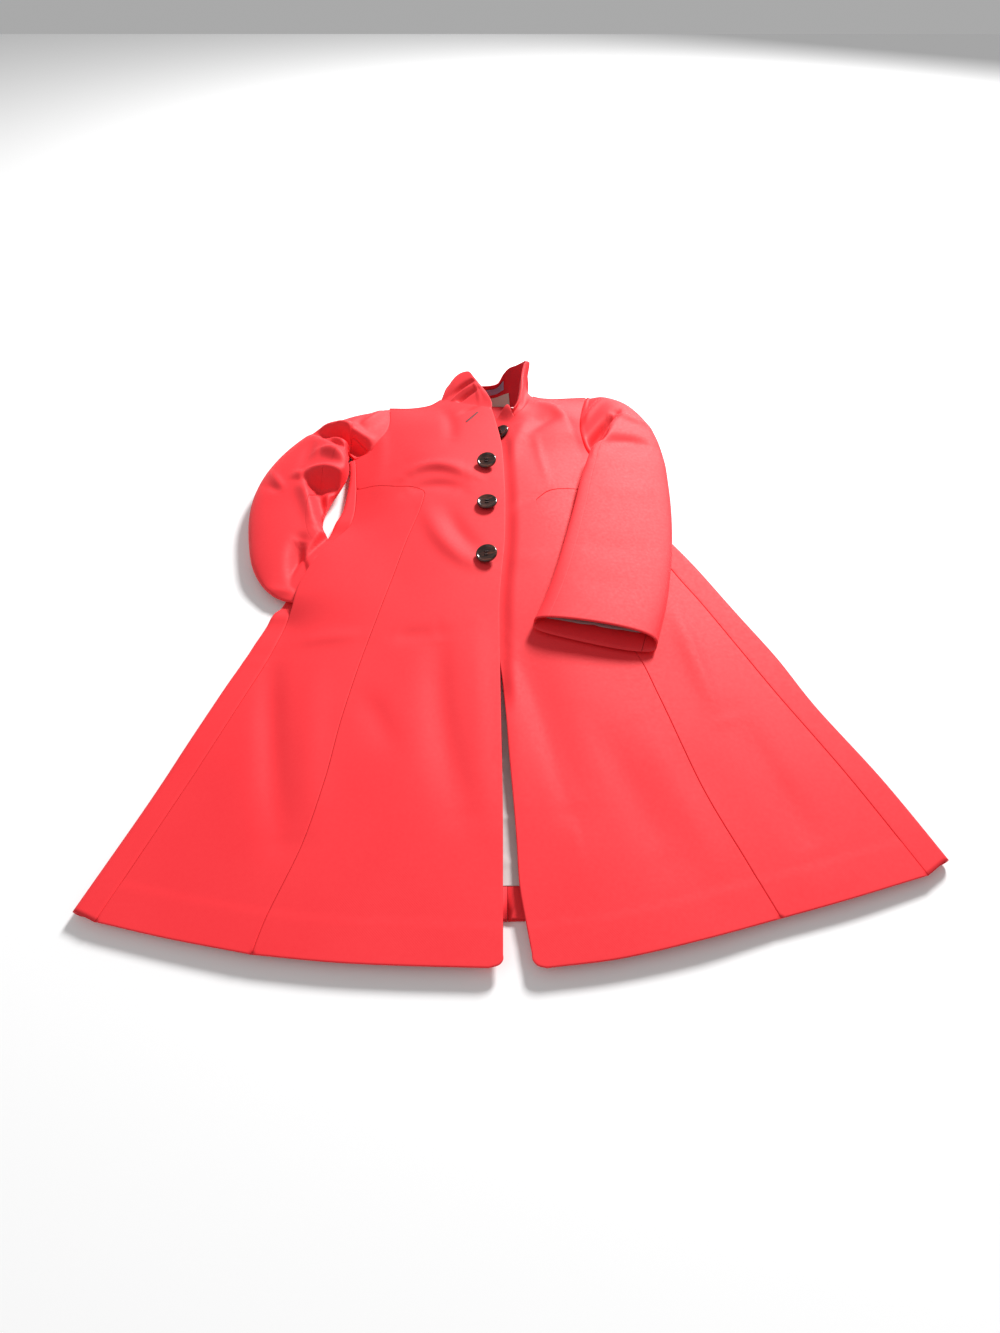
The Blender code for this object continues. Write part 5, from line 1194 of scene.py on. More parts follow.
def sewn_on(name, sizes, mat, relief, columns=44, rows=16):
    patch, normal = on_collar(**sizes, columns=columns, rows=rows)
    u = np.linspace(0.0, 1.0, columns)[:, None]
    v = np.linspace(0.0, 1.0, rows)[None]
    thick = (TRIM_THICK * relief(u, v))[..., None]
    return wall(name, (patch + thick * normal).reshape(-1, 3), patch.reshape(-1, 3),
                grid_faces(columns, rows), mat)


def loop_relief(u, v):
    """The tape stands away in the middle and is stitched down at both ends."""
    return 0.7 + 0.5 * np.sin(np.pi * u) + 0.12 * np.cos(8 * np.pi * v)


def label_relief(u, v):
    """Flat, with both ends folded under and a stitched line along them."""
    ends = np.minimum(u, 1 - u)
    return 0.75 + 0.25 * (ends < 0.08) - 0.3 * np.exp(-((ends - 0.1) / 0.02)**2) + 0 * v


sewn_on("tape_hang_loop", LOOP, TAPE, loop_relief)
sewn_on("cloth_neck_label", LABEL, LABEL_CLOTH, label_relief)
print("tape:", round(LOOP["right"] - LOOP["left"], 4), "m between its ends")

# %% [markdown]
# ## The sleeves
# A sleeve is two long pieces sewn into a tube. Each row here is one section of it, from the
# armhole to the cuff: the outer and inner side in plan with the height of the middle there, and
# how far the wall stands above and below that middle.

# %% Sleeve sections
SLEEVE_RIGHT = [
    dict(outer=(-0.206, 0.880, 0.022), inner=(-0.2400, 0.777, 0.022), up=0.017, down=0.018),
    dict(outer=(-0.245, 0.851, 0.026), inner=(-0.2370, 0.755, 0.027), up=0.022, down=0.018),
    dict(outer=(-0.297, 0.813, 0.024), inner=(-0.2300, 0.728, 0.032), up=0.023, down=0.018),
    dict(outer=(-0.336, 0.764, 0.019), inner=(-0.2290, 0.703, 0.031), up=0.021, down=0.018),
    dict(outer=(-0.358, 0.701, 0.016), inner=(-0.2360, 0.682, 0.026), up=0.020, down=0.018),
    dict(outer=(-0.361, 0.633, 0.014), inner=(-0.2480, 0.652, 0.020), up=0.021, down=0.018),
    dict(outer=(-0.348, 0.563, 0.013), inner=(-0.2525, 0.612, 0.020), up=0.019, down=0.017),
    dict(outer=(-0.328, 0.505, 0.0135), inner=(-0.2450, 0.582, 0.0180), up=0.014, down=0.008),
    dict(outer=(-0.296, 0.464, 0.0125), inner=(-0.2240, 0.566, 0.0140), up=0.0060, down=0.0045),
    dict(outer=(-0.257, 0.449, 0.0125), inner=(-0.1980, 0.551, 0.0150), up=0.0048, down=0.0045),
    dict(outer=(-0.222, 0.448, 0.0135), inner=(-0.1740, 0.538, 0.0160), up=0.0048, down=0.0045),
]
SLEEVE_LEFT = [
    dict(outer=(0.174, 0.926, 0.024), inner=(0.166, 0.752, 0.022), up=0.020, down=0.018),
    dict(outer=(0.213, 0.893, 0.027), inner=(0.157, 0.758, 0.032), up=0.020, down=0.020),
    dict(outer=(0.243, 0.828, 0.026), inner=(0.148, 0.755, 0.039), up=0.018, down=0.020),
    dict(outer=(0.253, 0.754, 0.024), inner=(0.1375, 0.743, 0.042), up=0.015, down=0.020),
    dict(outer=(0.251, 0.686, 0.022), inner=(0.119, 0.680, 0.042), up=0.012, down=0.019),
    dict(outer=(0.245, 0.617, 0.021), inner=(0.104, 0.614, 0.041), up=0.011, down=0.017),
    dict(outer=(0.2345, 0.544, 0.020), inner=(0.087, 0.545, 0.038), up=0.012, down=0.015),
    dict(outer=(0.2200, 0.475, 0.021), inner=(0.070, 0.482, 0.034), up=0.015, down=0.012),
    dict(outer=(0.2050, 0.418, 0.022), inner=(0.054, 0.433, 0.031), up=0.019, down=0.010),
    dict(outer=(0.187, 0.363, 0.024), inner=(0.041, 0.398, 0.031), up=0.020, down=0.007),
]
CUFF_SLANT = dict(under=0.011, top=0.009)  # how far the open cuff's two sides lean out and back
print("sleeve sections:", len(SLEEVE_RIGHT), "right,", len(SLEEVE_LEFT), "left")

# %% [markdown]
# A ring of points goes round each section, flattened on top and below, and a curve through the
# rings fills in between. It could be a tube along a path, but a cloth tube is never round, and its
# width and its two heights change by themselves here.

# %% Rings from the armhole to the cuff
AROUND = 150
RING_STEPS = 14          # rings between two rows of the tables
SLEEVE_CREST = 0.55      # 1 would be a round section, less is flatter on top
HEAD_STEEP = 9.0         # the section is steepest where it is sewn into the armhole
ARMHOLE_BELOW = 0.0006   # the sleeve's head starts this much below the front's face
SEAM_TURNS = (0.004, 0.016, 0.034)  # extra points beside a sleeve seam, as angles


def ring_angles(seams):
    """Even angles round a ring, with extra ones beside both seams so that these can sink."""
    extra = [s + sign * d for s in seams for d in SEAM_TURNS for sign in (-1, 1)]
    even = [a for a in 2 * np.pi * np.arange(AROUND) / AROUND
            if min(abs(a - s) for s in seams) > SEAM_TURNS[-1] * 1.3]
    return np.array(sorted(even + extra + list(seams)))


def rings(table, armhole, height, slant, angle, depth):
    """Rings from the armhole to the cuff, all round at this depth inside the outer face."""
    share = 0.5 * (1 - np.cos(angle))
    crest = np.sign(np.sin(angle)) * np.abs(np.sin(angle))**SLEEVE_CREST
    steep = np.sign(crest) * np.sqrt(np.clip(HEAD_STEEP * np.abs(np.sin(angle)), 0.0, 1.0))
    line = matched(armhole, 60)
    start = read_off(share, np.linspace(0, 1, len(line)), line)
    high = 0.5 * (height(start) - ARMHOLE_BELOW)
    coarse = [np.column_stack([start, high + FLOOR_CLEAR + (high - FLOOR_CLEAR - depth) * steep])]
    for row in table:
        a, b = np.array(row["outer"]), np.array(row["inner"])
        along = (b - a) / np.linalg.norm(b - a)
        ring = (a + along * depth) * (1 - share)[:, None] + (b - along * depth) * share[:, None]
        ring[:, 2] += np.where(crest > 0, row["up"] - depth, row["down"] - depth) * crest
        coarse.append(ring)
    forward = coarse[-1].mean(0) - coarse[-2].mean(0)
    forward[2] = 0.0
    forward /= np.linalg.norm(forward)
    coarse[-1] += forward * (slant["under"] * np.clip(-crest, 0.0, 1.0))[:, None]
    coarse[-1] -= forward * (slant["top"] * np.clip(crest, 0.0, 1.0) * (1.0 - share))[:, None]
    fine = spline([ring.ravel() for ring in coarse], RING_STEPS)
    return fine.reshape(len(fine), len(angle), 3), crest, forward


print("points round a sleeve:", len(ring_angles((0.5, 3.5))))

# %% [markdown]
# Folds, the floor below and the front above push the rings up or down. Every layer of the wall
# moves by the same amount, so the cloth keeps its thickness in a crease. The wall is then cut at
# its two seams into a top and an under piece, and its end is turned in at the cuff.

# %% A sleeve of two pieces
PUSH_ROWS = 4.0          # rings over which the push begins beside the armhole
PRESSED_MIDDLE = 0.0040  # a ring pressed flat still has its middle this far above the ground,
PRESSED_UP, PRESSED_DOWN = 0.0040, 0.0035  # and its walls this far above and below that
LINING_SLACK = 0.0008    # between the sleeve and its lining
LIP = 0.0003             # how far the turned edge at the cuff rounds before its tip


def pushed(grid, crest, ground, ceiling, folds):
    """How far each point rises or sinks for the folds, the ground below and the cloth above."""
    flat = grid.reshape(-1, 3)
    crests = np.tile(crest, len(grid))
    z = flat[:, 2] + fold_height(flat[:, :2], folds) * smooth(crests * 2.0)
    walls = np.where(crests > 0, PRESSED_UP, PRESSED_DOWN) * crests
    least = ground(flat[:, :2]) + PRESSED_MIDDLE + walls
    z = np.maximum(np.minimum(z, ceiling(flat[:, :2])), least)
    shift = (z - flat[:, 2]).reshape(grid.shape[:2])
    return shift * smooth(np.arange(len(grid)) / PUSH_ROWS)[:, None]


def sleeve(side, table, armhole, height, slant, ground, ceiling, folds, seams):
    """Makes a sleeve's top and under piece, and gives back its layers for the lining."""
    angle = ring_angles(seams)
    grid, crest, forward = rings(table, armhole, height, slant, angle, 0.0)
    shift = pushed(grid, crest, ground, ceiling, folds)
    layers = []
    for depth in (0.0, CLOTH, CLOTH + LINING_SLACK, CLOTH + LINING_SLACK + LINING):
        layer = rings(table, armhole, height, slant, angle, depth)[0]
        layer[..., 2] += shift
        layers.append(layer)
    outer, inner = layers[0], layers[1]
    centre = outer.mean(1, keepdims=True)
    size = np.linalg.norm(outer - centre, axis=-1, keepdims=True)
    arc = np.abs(angle[None] - np.array(seams)[:, None]).min(0)[None, :, None] * size
    outer += (centre - outer) / size * turned_down(arc, SEAM_ROUND)
    lip = 0.5 * (outer[-1:] + inner[-1:]) + forward * EDGE_ROUND * 0.8
    turn = 0.7 * (lip - forward * LIP)
    outer = np.concatenate([outer, 0.3 * outer[-1:] + turn, lip + 0.0001 * forward])
    inner = np.concatenate([inner, 0.3 * inner[-1:] + turn, lip])
    first, second = (int(np.argmin(np.abs(angle - s))) for s in seams)
    spans = {"top": list(range(second, len(angle))) + list(range(first + 1)),
             "under": list(range(first, second + 1))}
    for part, span in spans.items():
        face, back = outer[:, span].copy(), inner[:, span].copy()
        for end, beside in ((0, 1), (-1, -2)):
            for layer in (face, back):
                step = layer[:, beside] - layer[:, end]
                layer[:, end] += SEAM_GAP * step / (np.linalg.norm(step, axis=1)[:, None] + 1e-9)
        wall(f"cloth_sleeve_{side}_{part}", face.reshape(-1, 3), back.reshape(-1, 3),
             grid_faces(*face.shape[:2]), COAT)
    print("sleeve", side, outer.shape[:2], "points")
    return layers


print("a sleeve's wall with its lining:", 1000 * (CLOTH + LINING_SLACK + LINING), "mm")

# %% [markdown]
# What a sleeve lies on is a height for every place: the floor, the turned-up side of the back or
# the front. Where the right one goes into the pocket it also has something above it.

# %% What lies below and above the sleeves
STRIP_TOP = 0.0145       # the turned-up side of the back, away from the pocket
STRIP_CLEAR = 0.0006
SLEEVE_CLEAR = 0.0024    # between the left sleeve and the front
LEAST_FRONT = 0.0135     # the front's side where its own height runs out
POCKET_ENTRY = (0.032, 0.016)  # how far outside its mouth the sleeve starts to go under, over what
POCKET_UNDER = 0.0036    # from the front's face down to the sleeve: its cloth and some air
POCKET_SIDE = (0.600, 0.030)  # where up the side the back's strip is high again, over what
OPEN_HEIGHT = 1.0        # nothing above


def ground_right(xy):
    """What the wearer's right sleeve lies on: the floor, or the turned-up side of the back."""
    side = spaced(FOLD_RIGHT, 0.02) - (SIDE_BULGE, 0.0)
    body = np.vstack([side[::-1], [(-0.391, 0.05), (0.0, 0.05), (0.0, 0.77)]])
    over = 1.0 - smooth((distance_outside(xy, body) - 0.001) / 0.010)
    start, ramp = POCKET_SIDE
    pocket = 1.0 - smooth((xy[:, 1] - start) / ramp)
    top = POCKET_STRIP_TOP * pocket + STRIP_TOP * (1.0 - pocket) + STRIP_CLEAR
    return FLOOR_CLEAR + top * over


def ceiling_right(xy):
    """Where the sleeve goes into the pocket it stays below the front's underside."""
    mouth = spline(POCKET_MOUTH_RIGHT, 8)
    line = np.interp(xy[:, 1], mouth[:, 1], mouth[:, 0])
    start, blend = POCKET_ENTRY
    under = smooth((xy[:, 0] - line + start) / blend) * (xy[:, 1] < POCKET_BAND[1])
    mouth_top = (height_right(xy) - POCKET_UNDER) * under + 0.06 * (1 - under)
    return np.where(under > 0, mouth_top, OPEN_HEIGHT)


def ground_left(xy):
    """What the wearer's left sleeve lies on: the fronts, and past the coat's side the floor."""
    side = spaced(FOLD_LEFT, 0.02) + (SIDE_BULGE, 0.0)
    body = np.vstack([[(0.0, 0.10)], side, spaced(ARMHOLE_LEFT[::-1], 0.02), [(0.0, 0.93)]])
    over = 1.0 - smooth((distance_outside(xy, body) - 0.001) / 0.016)
    return FLOOR_CLEAR + (np.maximum(height_left(xy), LEAST_FRONT) + SLEEVE_CLEAR) * over


def open_above(xy):
    return np.full(len(xy), OPEN_HEIGHT)


print("below the left sleeve's middle:", ground_left(np.array([[0.15, 0.6]])).round(4))

# %% [markdown]
# The right sleeve is bent and pushed together, so its creases are deep and many. The left one lies
# straight, with deep creases only at its head.

# %% The two sleeves
FOLDS_SLEEVE_RIGHT = [
    (((-0.288, 0.804), (-0.249, 0.795), (-0.203, 0.776)), -0.0240, 0.009, 0.009),
    (((-0.286, 0.798), (-0.260, 0.774), (-0.231, 0.749)), -0.0100, 0.006, 0.008),
    (((-0.288, 0.812), (-0.250, 0.820), (-0.187, 0.790)), 0.0080, 0.010, 0.008),
    (((-0.194, 0.888), (-0.203, 0.850), (-0.224, 0.822)), 0.0070, 0.010, 0.008),
    (((-0.262, 0.812), (-0.248, 0.797), (-0.238, 0.775)), -0.0080, 0.006, 0.007),
    (((-0.274, 0.742), (-0.248, 0.748), (-0.223, 0.703)), 0.0080, 0.008, 0.012),
    (((-0.288, 0.776), (-0.293, 0.742), (-0.295, 0.709)), -0.0030, 0.010, 0.010),
    (((-0.291, 0.688), (-0.258, 0.700), (-0.222, 0.690)), 0.0120, 0.012, 0.007),
    (((-0.287, 0.676), (-0.254, 0.668), (-0.230, 0.678)), -0.0140, 0.008, 0.012),
    (((-0.270, 0.672), (-0.256, 0.637), (-0.249, 0.586)), -0.0150, 0.010, 0.009),
    (((-0.296, 0.693), (-0.270, 0.630), (-0.246, 0.569)), 0.0080, 0.005, 0.012),
    (((-0.273, 0.558), (-0.277, 0.519), (-0.259, 0.471)), -0.0130, 0.010, 0.010),
    (((-0.265, 0.547), (-0.244, 0.507), (-0.247, 0.473)), 0.0040, 0.006, 0.006),
    (((-0.303, 0.471), (-0.281, 0.468), (-0.260, 0.467)), 0.0020, 0.007, 0.007),
    (((-0.344, 0.709), (-0.329, 0.684), (-0.314, 0.658)), 0.0032, 0.005, 0.007),
    (((-0.317, 0.653), (-0.329, 0.665), (-0.348, 0.677)), -0.0024, 0.007, 0.007),
]
FOLDS_SLEEVE_LEFT = [
    (((0.127, 0.762), (0.159, 0.811), (0.188, 0.851)), -0.0180, 0.011, 0.007),
    (((0.127, 0.719), (0.157, 0.775), (0.189, 0.841)), 0.0065, 0.006, 0.016),
    (((0.189, 0.841), (0.210, 0.829), (0.237, 0.824)), 0.0050, 0.008, 0.010),
    (((0.150, 0.749), (0.195, 0.782), (0.237, 0.762)), -0.0070, 0.012, 0.024),
    (((0.122, 0.832), (0.143, 0.872), (0.171, 0.909)), 0.0050, 0.008, 0.008),
    (((0.139, 0.638), (0.179, 0.658), (0.228, 0.654)), 0.0018, 0.024, 0.022),
    (((0.107, 0.528), (0.144, 0.520), (0.201, 0.532)), -0.0016, 0.022, 0.022),
    (((0.094, 0.442), (0.131, 0.469), (0.164, 0.439)), -0.0012, 0.020, 0.022),
]
ARMHOLE_OFF = 0.0001     # keeps a sleeve's first ring off the front's own edge
TURN = 2 * np.pi / 20
SLEEVE_SEAMS_RIGHT = (7 * TURN, 17 * TURN)
SLEEVE_SEAMS_LEFT = (7.8 * TURN, 18 * TURN)

sleeve("right", SLEEVE_RIGHT, [(x - ARMHOLE_OFF, y) for x, y in ARMHOLE_RIGHT], height_right,
       dict(under=0.0, top=0.0), ground_right, ceiling_right, FOLDS_SLEEVE_RIGHT,
       SLEEVE_SEAMS_RIGHT)
layers_left = sleeve(
    "left", SLEEVE_LEFT, [(x + ARMHOLE_OFF, y) for x, y in ARMHOLE_LEFT], height_left,
    CUFF_SLANT, ground_left, open_above, FOLDS_SLEEVE_LEFT, SLEEVE_SEAMS_LEFT)

# %% [markdown]
# Inside the open cuff the cloth is turned in and the satin lining begins a finger's width further
# up. Its edge puckers, so the rings there are pulled inwards in waves that die out up the sleeve.

# %% The lining in the cuff
LINING_ROWS = 26
LINING_START = 6         # rings between the cuff's edge and the lining
PUCKERS = ((5, 0.0012, 0.4), (11, 0.0009, 1.9), (19, 0.0005, 4.1))  # waves round, depth, where


def cuff_lining(layers):
    outer, inner = (layer[-LINING_ROWS - LINING_START:-LINING_START].copy() for layer in layers[2:])
    turn = 2 * np.pi * np.arange(outer.shape[1]) / outer.shape[1]
    wave = sum(depth * (1 + np.sin(waves * turn + at)) for waves, depth, at in PUCKERS)
    near = np.linspace(0.25, 1.0, LINING_ROWS)[:, None]
    for layer in (outer, inner):
        centre = layer.mean(1, keepdims=True)
        pull = (centre - layer) / np.linalg.norm(centre - layer, axis=-1, keepdims=True)
        layer += pull * (wave * near)[..., None]
    quads = grid_faces(*outer.shape[:2], closed=True)
    # Its satin is coloured darker as painted shade inside the sleeve.
    return wall("satin_cuff_lining", outer.reshape(-1, 3), inner.reshape(-1, 3), quads,
                SHADED_SATIN)


print("cuff lining:", len(cuff_lining(layers_left).data.polygons), "faces")

# %% [markdown]
# ## Buttons
# A horn button is turned on a lathe: a flat disc with a soft raised rim and a dished middle,
# drilled with four holes. The profile is spun round here, the holes are cut with a Boolean, and two
# bars of thread cross them. Each lies on the cloth, leaning the way its shank has let it tip.

# %% A button's sizes, and turning on a lathe
BUTTON_RADIUS = 0.0145
BUTTON_THICK = 0.0046
BUTTON_CLEAR = 0.0008    # least space between a tipped button and the cloth
DISH = 0.62              # height of its dished middle, as a share of the thickness
SHANK_LENGTH = 0.0022
SHANK_RADIUS = 0.0022
HOLE_RADIUS = 0.0011
HOLE_OFFSET = 0.0024
BUTTONS = [
    dict(name="button_1", at=(-0.0190, 0.714), lean=(14, -8)),
    dict(name="button_2", at=(-0.0180, 0.622), lean=(0, -3)),
    dict(name="button_3", at=(-0.0165, 0.517), lean=(10, -12)),
    dict(name="button_top", at=(0.0030, 0.8110), lean=(8, 0)),
]
PROFILE = [(0.0, 0.00), (0.62, 0.00), (0.86, 0.06), (0.96, 0.22), (1.00, 0.48), (0.99, 0.74),
           (0.95, 0.92), (0.89, 1.00), (0.83, 0.97), (0.78, 0.86), (0.72, 0.76), (0.60, 0.70),
           (0.40, 0.64), (0.0, 0.61)]  # shares of the radius and of the thickness


def spun(name, profile, segments, mat):
    """A closed solid of revolution about Z whose profile starts and ends on the axis."""
    turn = 2 * np.pi * np.arange(segments) / segments
    points = [(0.0, 0.0, profile[0][1])]
    for radius, z in profile[1:-1]:
        points += [(radius * math.cos(a), radius * math.sin(a), z) for a in turn]
    points.append((0.0, 0.0, profile[-1][1]))
    last, rows = len(points) - 1, len(profile) - 2
    faces = []
    for k in range(segments):
        j = (k + 1) % segments
        faces.append((0, 1 + j, 1 + k))
        faces += [(1 + r * segments + k, 1 + r * segments + j,
                   1 + (r + 1) * segments + j, 1 + (r + 1) * segments + k) for r in range(rows - 1)]
        faces.append((1 + (rows - 1) * segments + k, 1 + (rows - 1) * segments + j, last))
    return new_piece(name, np.array(points) - ORIGIN, faces, mat)


print("buttons are", round(2000 * BUTTON_RADIUS), "mm across")

# %% [markdown]
# A Boolean takes a thin drill out of the disc at each of the four holes. The thread is a bundle
# that dips into two of them and lies across the dish, so there are two such bars.

# %% Holes and thread
SPOKES = 10              # points round a bundle of thread
STRAND = 0.00055         # its radius
DIP = 0.0016             # how deep it goes into the holes


def finished(obj):
    """The object with its modifiers applied."""
    bpy.context.view_layer.update()
    mesh = bpy.data.meshes.new_from_object(obj.evaluated_get(bpy.context.evaluated_depsgraph_get()))
    obj.modifiers.clear()
    obj.data = mesh
    return obj


def drilled(disc, low, high):
    for sx, sy in ((1, 1), (1, -1), (-1, 1), (-1, -1)):
        drill = spun("drill", [(0.0, low), (HOLE_RADIUS, low), (HOLE_RADIUS, high), (0.0, high)],
                     20, HORN)
        drill.data.transform(Matrix.Translation((sx * HOLE_OFFSET, sy * HOLE_OFFSET, 0.0)))
        cut = disc.modifiers.new("hole", "BOOLEAN")
        cut.object, cut.operation, cut.solver = drill, "DIFFERENCE", "EXACT"
        finished(disc)
        bpy.data.objects.remove(drill)
    return disc


def thread_bar(name, top):
    """A bundle of thread that dips into two holes and lies across the dish between them."""
    t = np.linspace(-1.0, 1.0, 25)
    ring = 2 * np.pi * np.arange(SPOKES) / SPOKES
    points = []
    for s in t:
        height = top + 0.0007 - DIP * smooth((abs(s) - 0.72) / 0.28)
        strand = STRAND * (1 + 0.12 * math.cos(14 * s))
        points += [(s * 1.15 * HOLE_OFFSET, strand * 1.5 * math.cos(a),
                    height + strand * math.sin(a)) for a in ring]
    ends = [tuple(range(SPOKES - 1, -1, -1)), tuple(range(len(points) - SPOKES, len(points)))]
    faces = grid_faces(len(t), SPOKES, closed=True) + ends
    return new_piece(name, np.array(points) - ORIGIN, faces, DARK_THREAD_AND_SLIT_SHADE)


print("a hole is", round(2000 * HOLE_RADIUS, 1), "mm wide")

# %% [markdown]
# Every button is made at the origin and then set on the cloth: turned to the slope of the front
# there, tipped by its own two angles, and lifted by its shank so that its rim stays clear.

# %% Buttons on their shanks
def make_button(name, at, lean, height):
    """The disc, the shank and two bars of thread of one button, in place on the cloth."""
    leaning = math.hypot(*lean)
    stalk = max(SHANK_LENGTH, BUTTON_RADIUS * math.sin(math.radians(leaning)) + BUTTON_CLEAR)
    disc = spun(name, [(r * BUTTON_RADIUS, stalk + z * BUTTON_THICK) for r, z in PROFILE], 96, HORN)
    dish = stalk + DISH * BUTTON_THICK
    drilled(disc, stalk - 0.001, dish + 0.004)
    waist = 0.8 * SHANK_RADIUS
    shank = spun(f"{name}_shank", [
        (0.0, 0.0), (1.1 * SHANK_RADIUS, 0.0), (waist, 0.3 * stalk), (waist, 0.75 * stalk),
        (SHANK_RADIUS, stalk), (0.0, stalk)], 24, DARK_THREAD_AND_SLIT_SHADE)
    bars = [thread_bar(f"{name}_thread_{i}", dish) for i in (1, 2)]
    for bar, y in zip(bars, (HOLE_OFFSET, -HOLE_OFFSET)):
        bar.data.transform(Matrix.Translation((0.0, y, 0.0)))
    xy = np.array([at])
    east, north = (float(rise[0]) for rise in rise_of(height, xy, 0.012))
    turn = Vector((0, 0, 1)).rotation_difference(Vector((-east, -north, 1.0))).to_matrix()
    turn = turn @ Matrix.Rotation(math.radians(lean[0]), 3, "X")
    turn = turn @ Matrix.Rotation(math.radians(lean[1]), 3, "Y")
    lift = 0.0005 + SHANK_RADIUS * math.sin(math.radians(leaning))
    base = Vector((*at, float(height(xy)[0]) + lift)) + Vector(ORIGIN)
    for piece in (disc, shank, *bars):
        piece.data.transform(Matrix.Translation(base) @ turn.to_4x4())
        piece.data.set_sharp_from_angle(angle=math.radians(40))
    return [disc, shank, *bars]


made_buttons = {row["name"]: make_button(
    row["name"] + "_disc", row["at"], row["lean"],
    height_left if row["name"] == "button_top" else height_right) for row in BUTTONS}
print("buttons:", {name: len(pieces) for name, pieces in made_buttons.items()})

# %% [markdown]
# The top button is undone, so the slit it would go through shows on the right front. A worked
# buttonhole is a narrow opening whose two edges are whipped with thread, here two beaded ridges on
# a strip that follows the cloth, in thread coloured darker than the coat as painted shade. Between
# them a near-black strip is painted shade for the open slit.

# %% The empty buttonhole
BUTTONHOLE = ((-0.0547, 0.8286), (-0.0352, 0.8578))
HOLE_STITCHES = 26
EDGE_WIDTH, SLIT_WIDTH = 0.0022, 0.0011  # half of each
STITCH_HEIGHT, SLIT_HEIGHT = 0.0007, 0.0004


def follow(name, ends, half, lift, relief, mat, height, columns=160, rows=9):
    """A narrow strip along a straight line on the cloth, with a relief across and along it."""
    a, b = (np.array(end) for end in ends)
    along = np.linspace(0.0, 1.0, columns)[:, None]
    across = np.linspace(-1.0, 1.0, rows)[None]
    side = np.array([a[1] - b[1], b[0] - a[0]]) / np.linalg.norm(b - a)
    narrow = half * np.sqrt(np.clip(1.0 - (2 * along - 1)**8, 0.02, 1.0))
    xy = (a + along[..., None] * (b - a) + (narrow * across)[..., None] * side).reshape(-1, 2)
    z = height(xy) + lift
    top = np.column_stack([xy, z + relief(along, across).ravel()])
    return wall(name, top, np.column_stack([xy, z - 0.0003]), grid_faces(columns, rows), mat)


def whipped(along, across):
    """Two ridges of stitches with a groove between them."""
    beads = 0.75 + 0.25 * np.cos(2 * np.pi * HOLE_STITCHES * along + np.pi * (across > 0))
    return STITCH_HEIGHT * beads * np.sin(np.pi * np.abs(across))**0.7


def level(along, across):
    """A flat strip, the painted shade of the open slit."""
    return SLIT_HEIGHT + 0 * along * across


made_buttonhole = [
    follow("buttonhole_edges", BUTTONHOLE, EDGE_WIDTH, 0.0001, whipped, SHADED_BUTTONHOLE_THREAD, height_right),
    # The slit is a near-black strip: painted shade where the opening is.
    follow("buttonhole_slit_painted_shade", BUTTONHOLE, SLIT_WIDTH, 0.0002, level, DARK_THREAD_AND_SLIT_SHADE, height_right,
           60, 3)]
print("buttonhole pieces:", [piece.name for piece in made_buttonhole])

# %% [markdown]
# ## Tying each piece to the frame
# Every piece is tied to the one body, and the CAD solid it stands for is hidden. The table below
# lists for each cloth its CAD solid, its finish and the size it was cut to. The cuts were measured
# from the finished walls: half a wall's surface is the flat area, because a wall has two faces, and
# its longest rows and columns give the rectangle it was cut from.

# %% The cut of each cloth
CLOTHS = [  # piece, CAD node, slot, cut (width, length), held, what it rests on
    ("cloth_front_right", "front_right", "coat", (0.262, 1.010), "laid", "cloth_back_right"),
    ("cloth_front_left", "front_left", "coat", (0.310, 1.040), "laid", "cloth_back_left"),
    ("cloth_side_front_right", "side_front_right", "coat", (0.270, 0.700), "laid",
     "cloth_back_right"),
    ("cloth_side_front_left", "side_front_left", "coat", (0.362, 0.660), "laid", "cloth_back_left"),
    ("cloth_back_right", "back_right", "coat", (0.430, 0.960), "laid", "floor"),
    ("cloth_back_left", "back_left", "coat", (0.470, 0.960), "laid", "floor"),
    ("cloth_hem_band_right", "hem_band_right", "coat", (0.400, 0.045), "laid", "cloth_back_right"),
    ("cloth_hem_band_left", "hem_band_left", "coat", (0.430, 0.090), "laid", "cloth_back_left"),
    ("cloth_back_lining", "back_lining", "satin", (0.800, 0.860), "laid", "cloth_back_left"),
    ("cloth_neck_facing", "neck_facing", "coat", (0.156, 0.056), "laid", "cloth_back_left"),
    ("cloth_collar_back", "collar_back", "coat", (0.170, 0.070), "laid", "cloth_back_left"),
    ("cloth_sleeve_right_top", "sleeve_right_top", "coat", (0.215, 0.700), "folded",
     "cloth_back_right"),
    ("cloth_sleeve_right_under", "sleeve_right_under", "coat", (0.215, 0.700), "folded",
     "cloth_back_right"),
    ("cloth_sleeve_left_top", "sleeve_left_top", "coat", (0.245, 0.640), "folded",
     "cloth_front_left"),
    ("cloth_sleeve_left_under", "sleeve_left_under", "coat", (0.245, 0.640), "folded",
     "cloth_front_left"),
    ("satin_cuff_lining", "sleeve_left_lining", "satin", (0.330, 0.110), "laid",
     "cloth_sleeve_left_under"),
    ("tape_hang_loop", "hang_loop", "ribbon", (0.044, 0.012), "laid", "cloth_collar_back"),
    ("cloth_neck_label", "neck_label", "label", (0.032, 0.020), "laid", "cloth_collar_back"),
]
coat_cloth = sum(row[3][0] * row[3][1] for row in CLOTHS if row[2] == "coat")
print("rectangles of coat cloth:", round(coat_cloth, 2), "m2")

# %% [markdown]
# All pieces ride the one body, the coat. Each cloth and each button hides the CAD solid it stands
# for, and a button's shank and thread go along with its disc.


for name, node, slot, cut, held, rests_on in CLOTHS:
    piece = bpy.data.objects[name]
    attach(piece, "root")
    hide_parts(node)

for node, pieces in made_buttons.items():
    for piece in pieces:
        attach(piece, "root")
    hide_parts(node)
for piece in made_buttonhole:
    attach(piece, "root")

# %% [markdown]
# ## Floor, light and camera
# A pale floor and an even white surrounding show the coat as in a studio. The floor is rough, so
# that it shows no reflection.

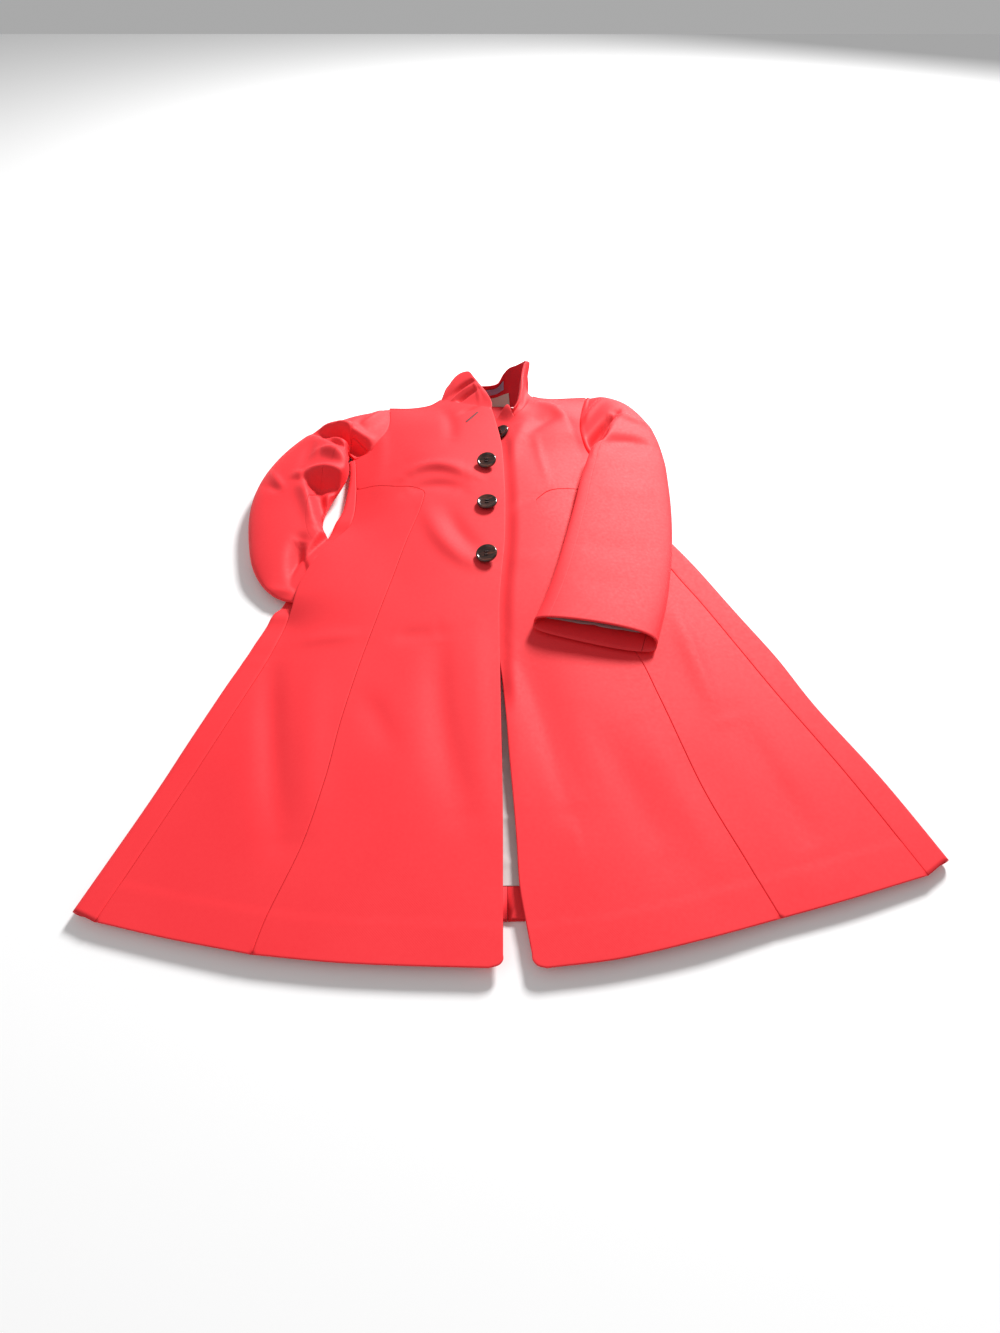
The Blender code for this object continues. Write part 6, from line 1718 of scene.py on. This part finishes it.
# %% Floor and world
FLOOR_SIZE = 8.0
SURROUNDING = 0.40       # strength of the white light from all round


def make_floor():
    half = 0.5 * FLOOR_SIZE
    corners = half * np.array([(-1, -1, 0), (1, -1, 0), (1, 1, 0), (-1, 1, 0)], float)
    mat, _, shader = new_material("pale_floor")
    shader.inputs["Base Color"].default_value = (0.95, 0.95, 0.95, 1.0)
    shader.inputs["Roughness"].default_value = 0.9
    shader.inputs["Specular IOR Level"].default_value = 0.1
    floor = new_piece("floor", corners - ORIGIN - (0, 0, 0.0002), [(0, 1, 2, 3)], mat)


def make_world():
    world = bpy.data.worlds.new("studio")
    world.use_nodes = True
    background = world.node_tree.nodes["Background"]
    background.inputs["Color"].default_value = (1.0, 1.0, 1.0, 1.0)
    background.inputs["Strength"].default_value = SURROUNDING
    bpy.context.scene.world = world


make_floor()
make_world()
print("floor:", FLOOR_SIZE, "m wide")

# %% [markdown]
# One large lamp beyond the collar grazes the cloth, which is what shows its folds, and a weak one
# from the other side keeps the shaded sides open.

# %% Lights: name, place, size, power
LIGHTS = [
    ("key", (1.25, 2.36, 1.90), 0.80, 172.0),
    ("fill", (-1.30, -0.60, 1.60), 1.6, 3.0),
]


def aim(obj, target):
    obj.rotation_euler = (Vector(target) - obj.location).to_track_quat("-Z", "Y").to_euler()


for name, place, size, power in LIGHTS:
    lamp = bpy.data.lights.new(name, "AREA")
    lamp.shape, lamp.size, lamp.energy = "DISK", size, power
    obj = bpy.data.objects.new(name, lamp)
    obj.location = place
    bpy.context.scene.collection.objects.link(obj)
    aim(obj, (0.0, 0.0, 0.0))
    print("lamp", name, round(obj.location.length, 2), "m away")

# %% [markdown]
# The camera stands near the hem, 65 cm up, and looks 40 degrees away from straight down. Its lens
# is wide, so the hem is large and the collar small.

# %% Camera
CAMERA_PLACE = (0.0, -0.191, 0.650)   # from the garment's own marks
CAMERA_TILT = 40.0
FOCAL_PIXELS = 700.0
PICTURE_HEIGHT = 1333.0
SENSOR = 36.0

lens = bpy.data.cameras.new("camera")
lens.sensor_width = SENSOR
lens.lens = FOCAL_PIXELS / PICTURE_HEIGHT * SENSOR
lens.clip_start = 0.01
camera = bpy.data.objects.new("camera", lens)
camera.location = Vector(CAMERA_PLACE) + Vector(ORIGIN)
camera.rotation_euler = (math.radians(CAMERA_TILT), 0.0, 0.0)
bpy.context.scene.collection.objects.link(camera)
bpy.context.scene.camera = camera
bpy.context.scene.view_settings.view_transform = "Standard"
print("lens:", round(lens.lens, 1), "mm")
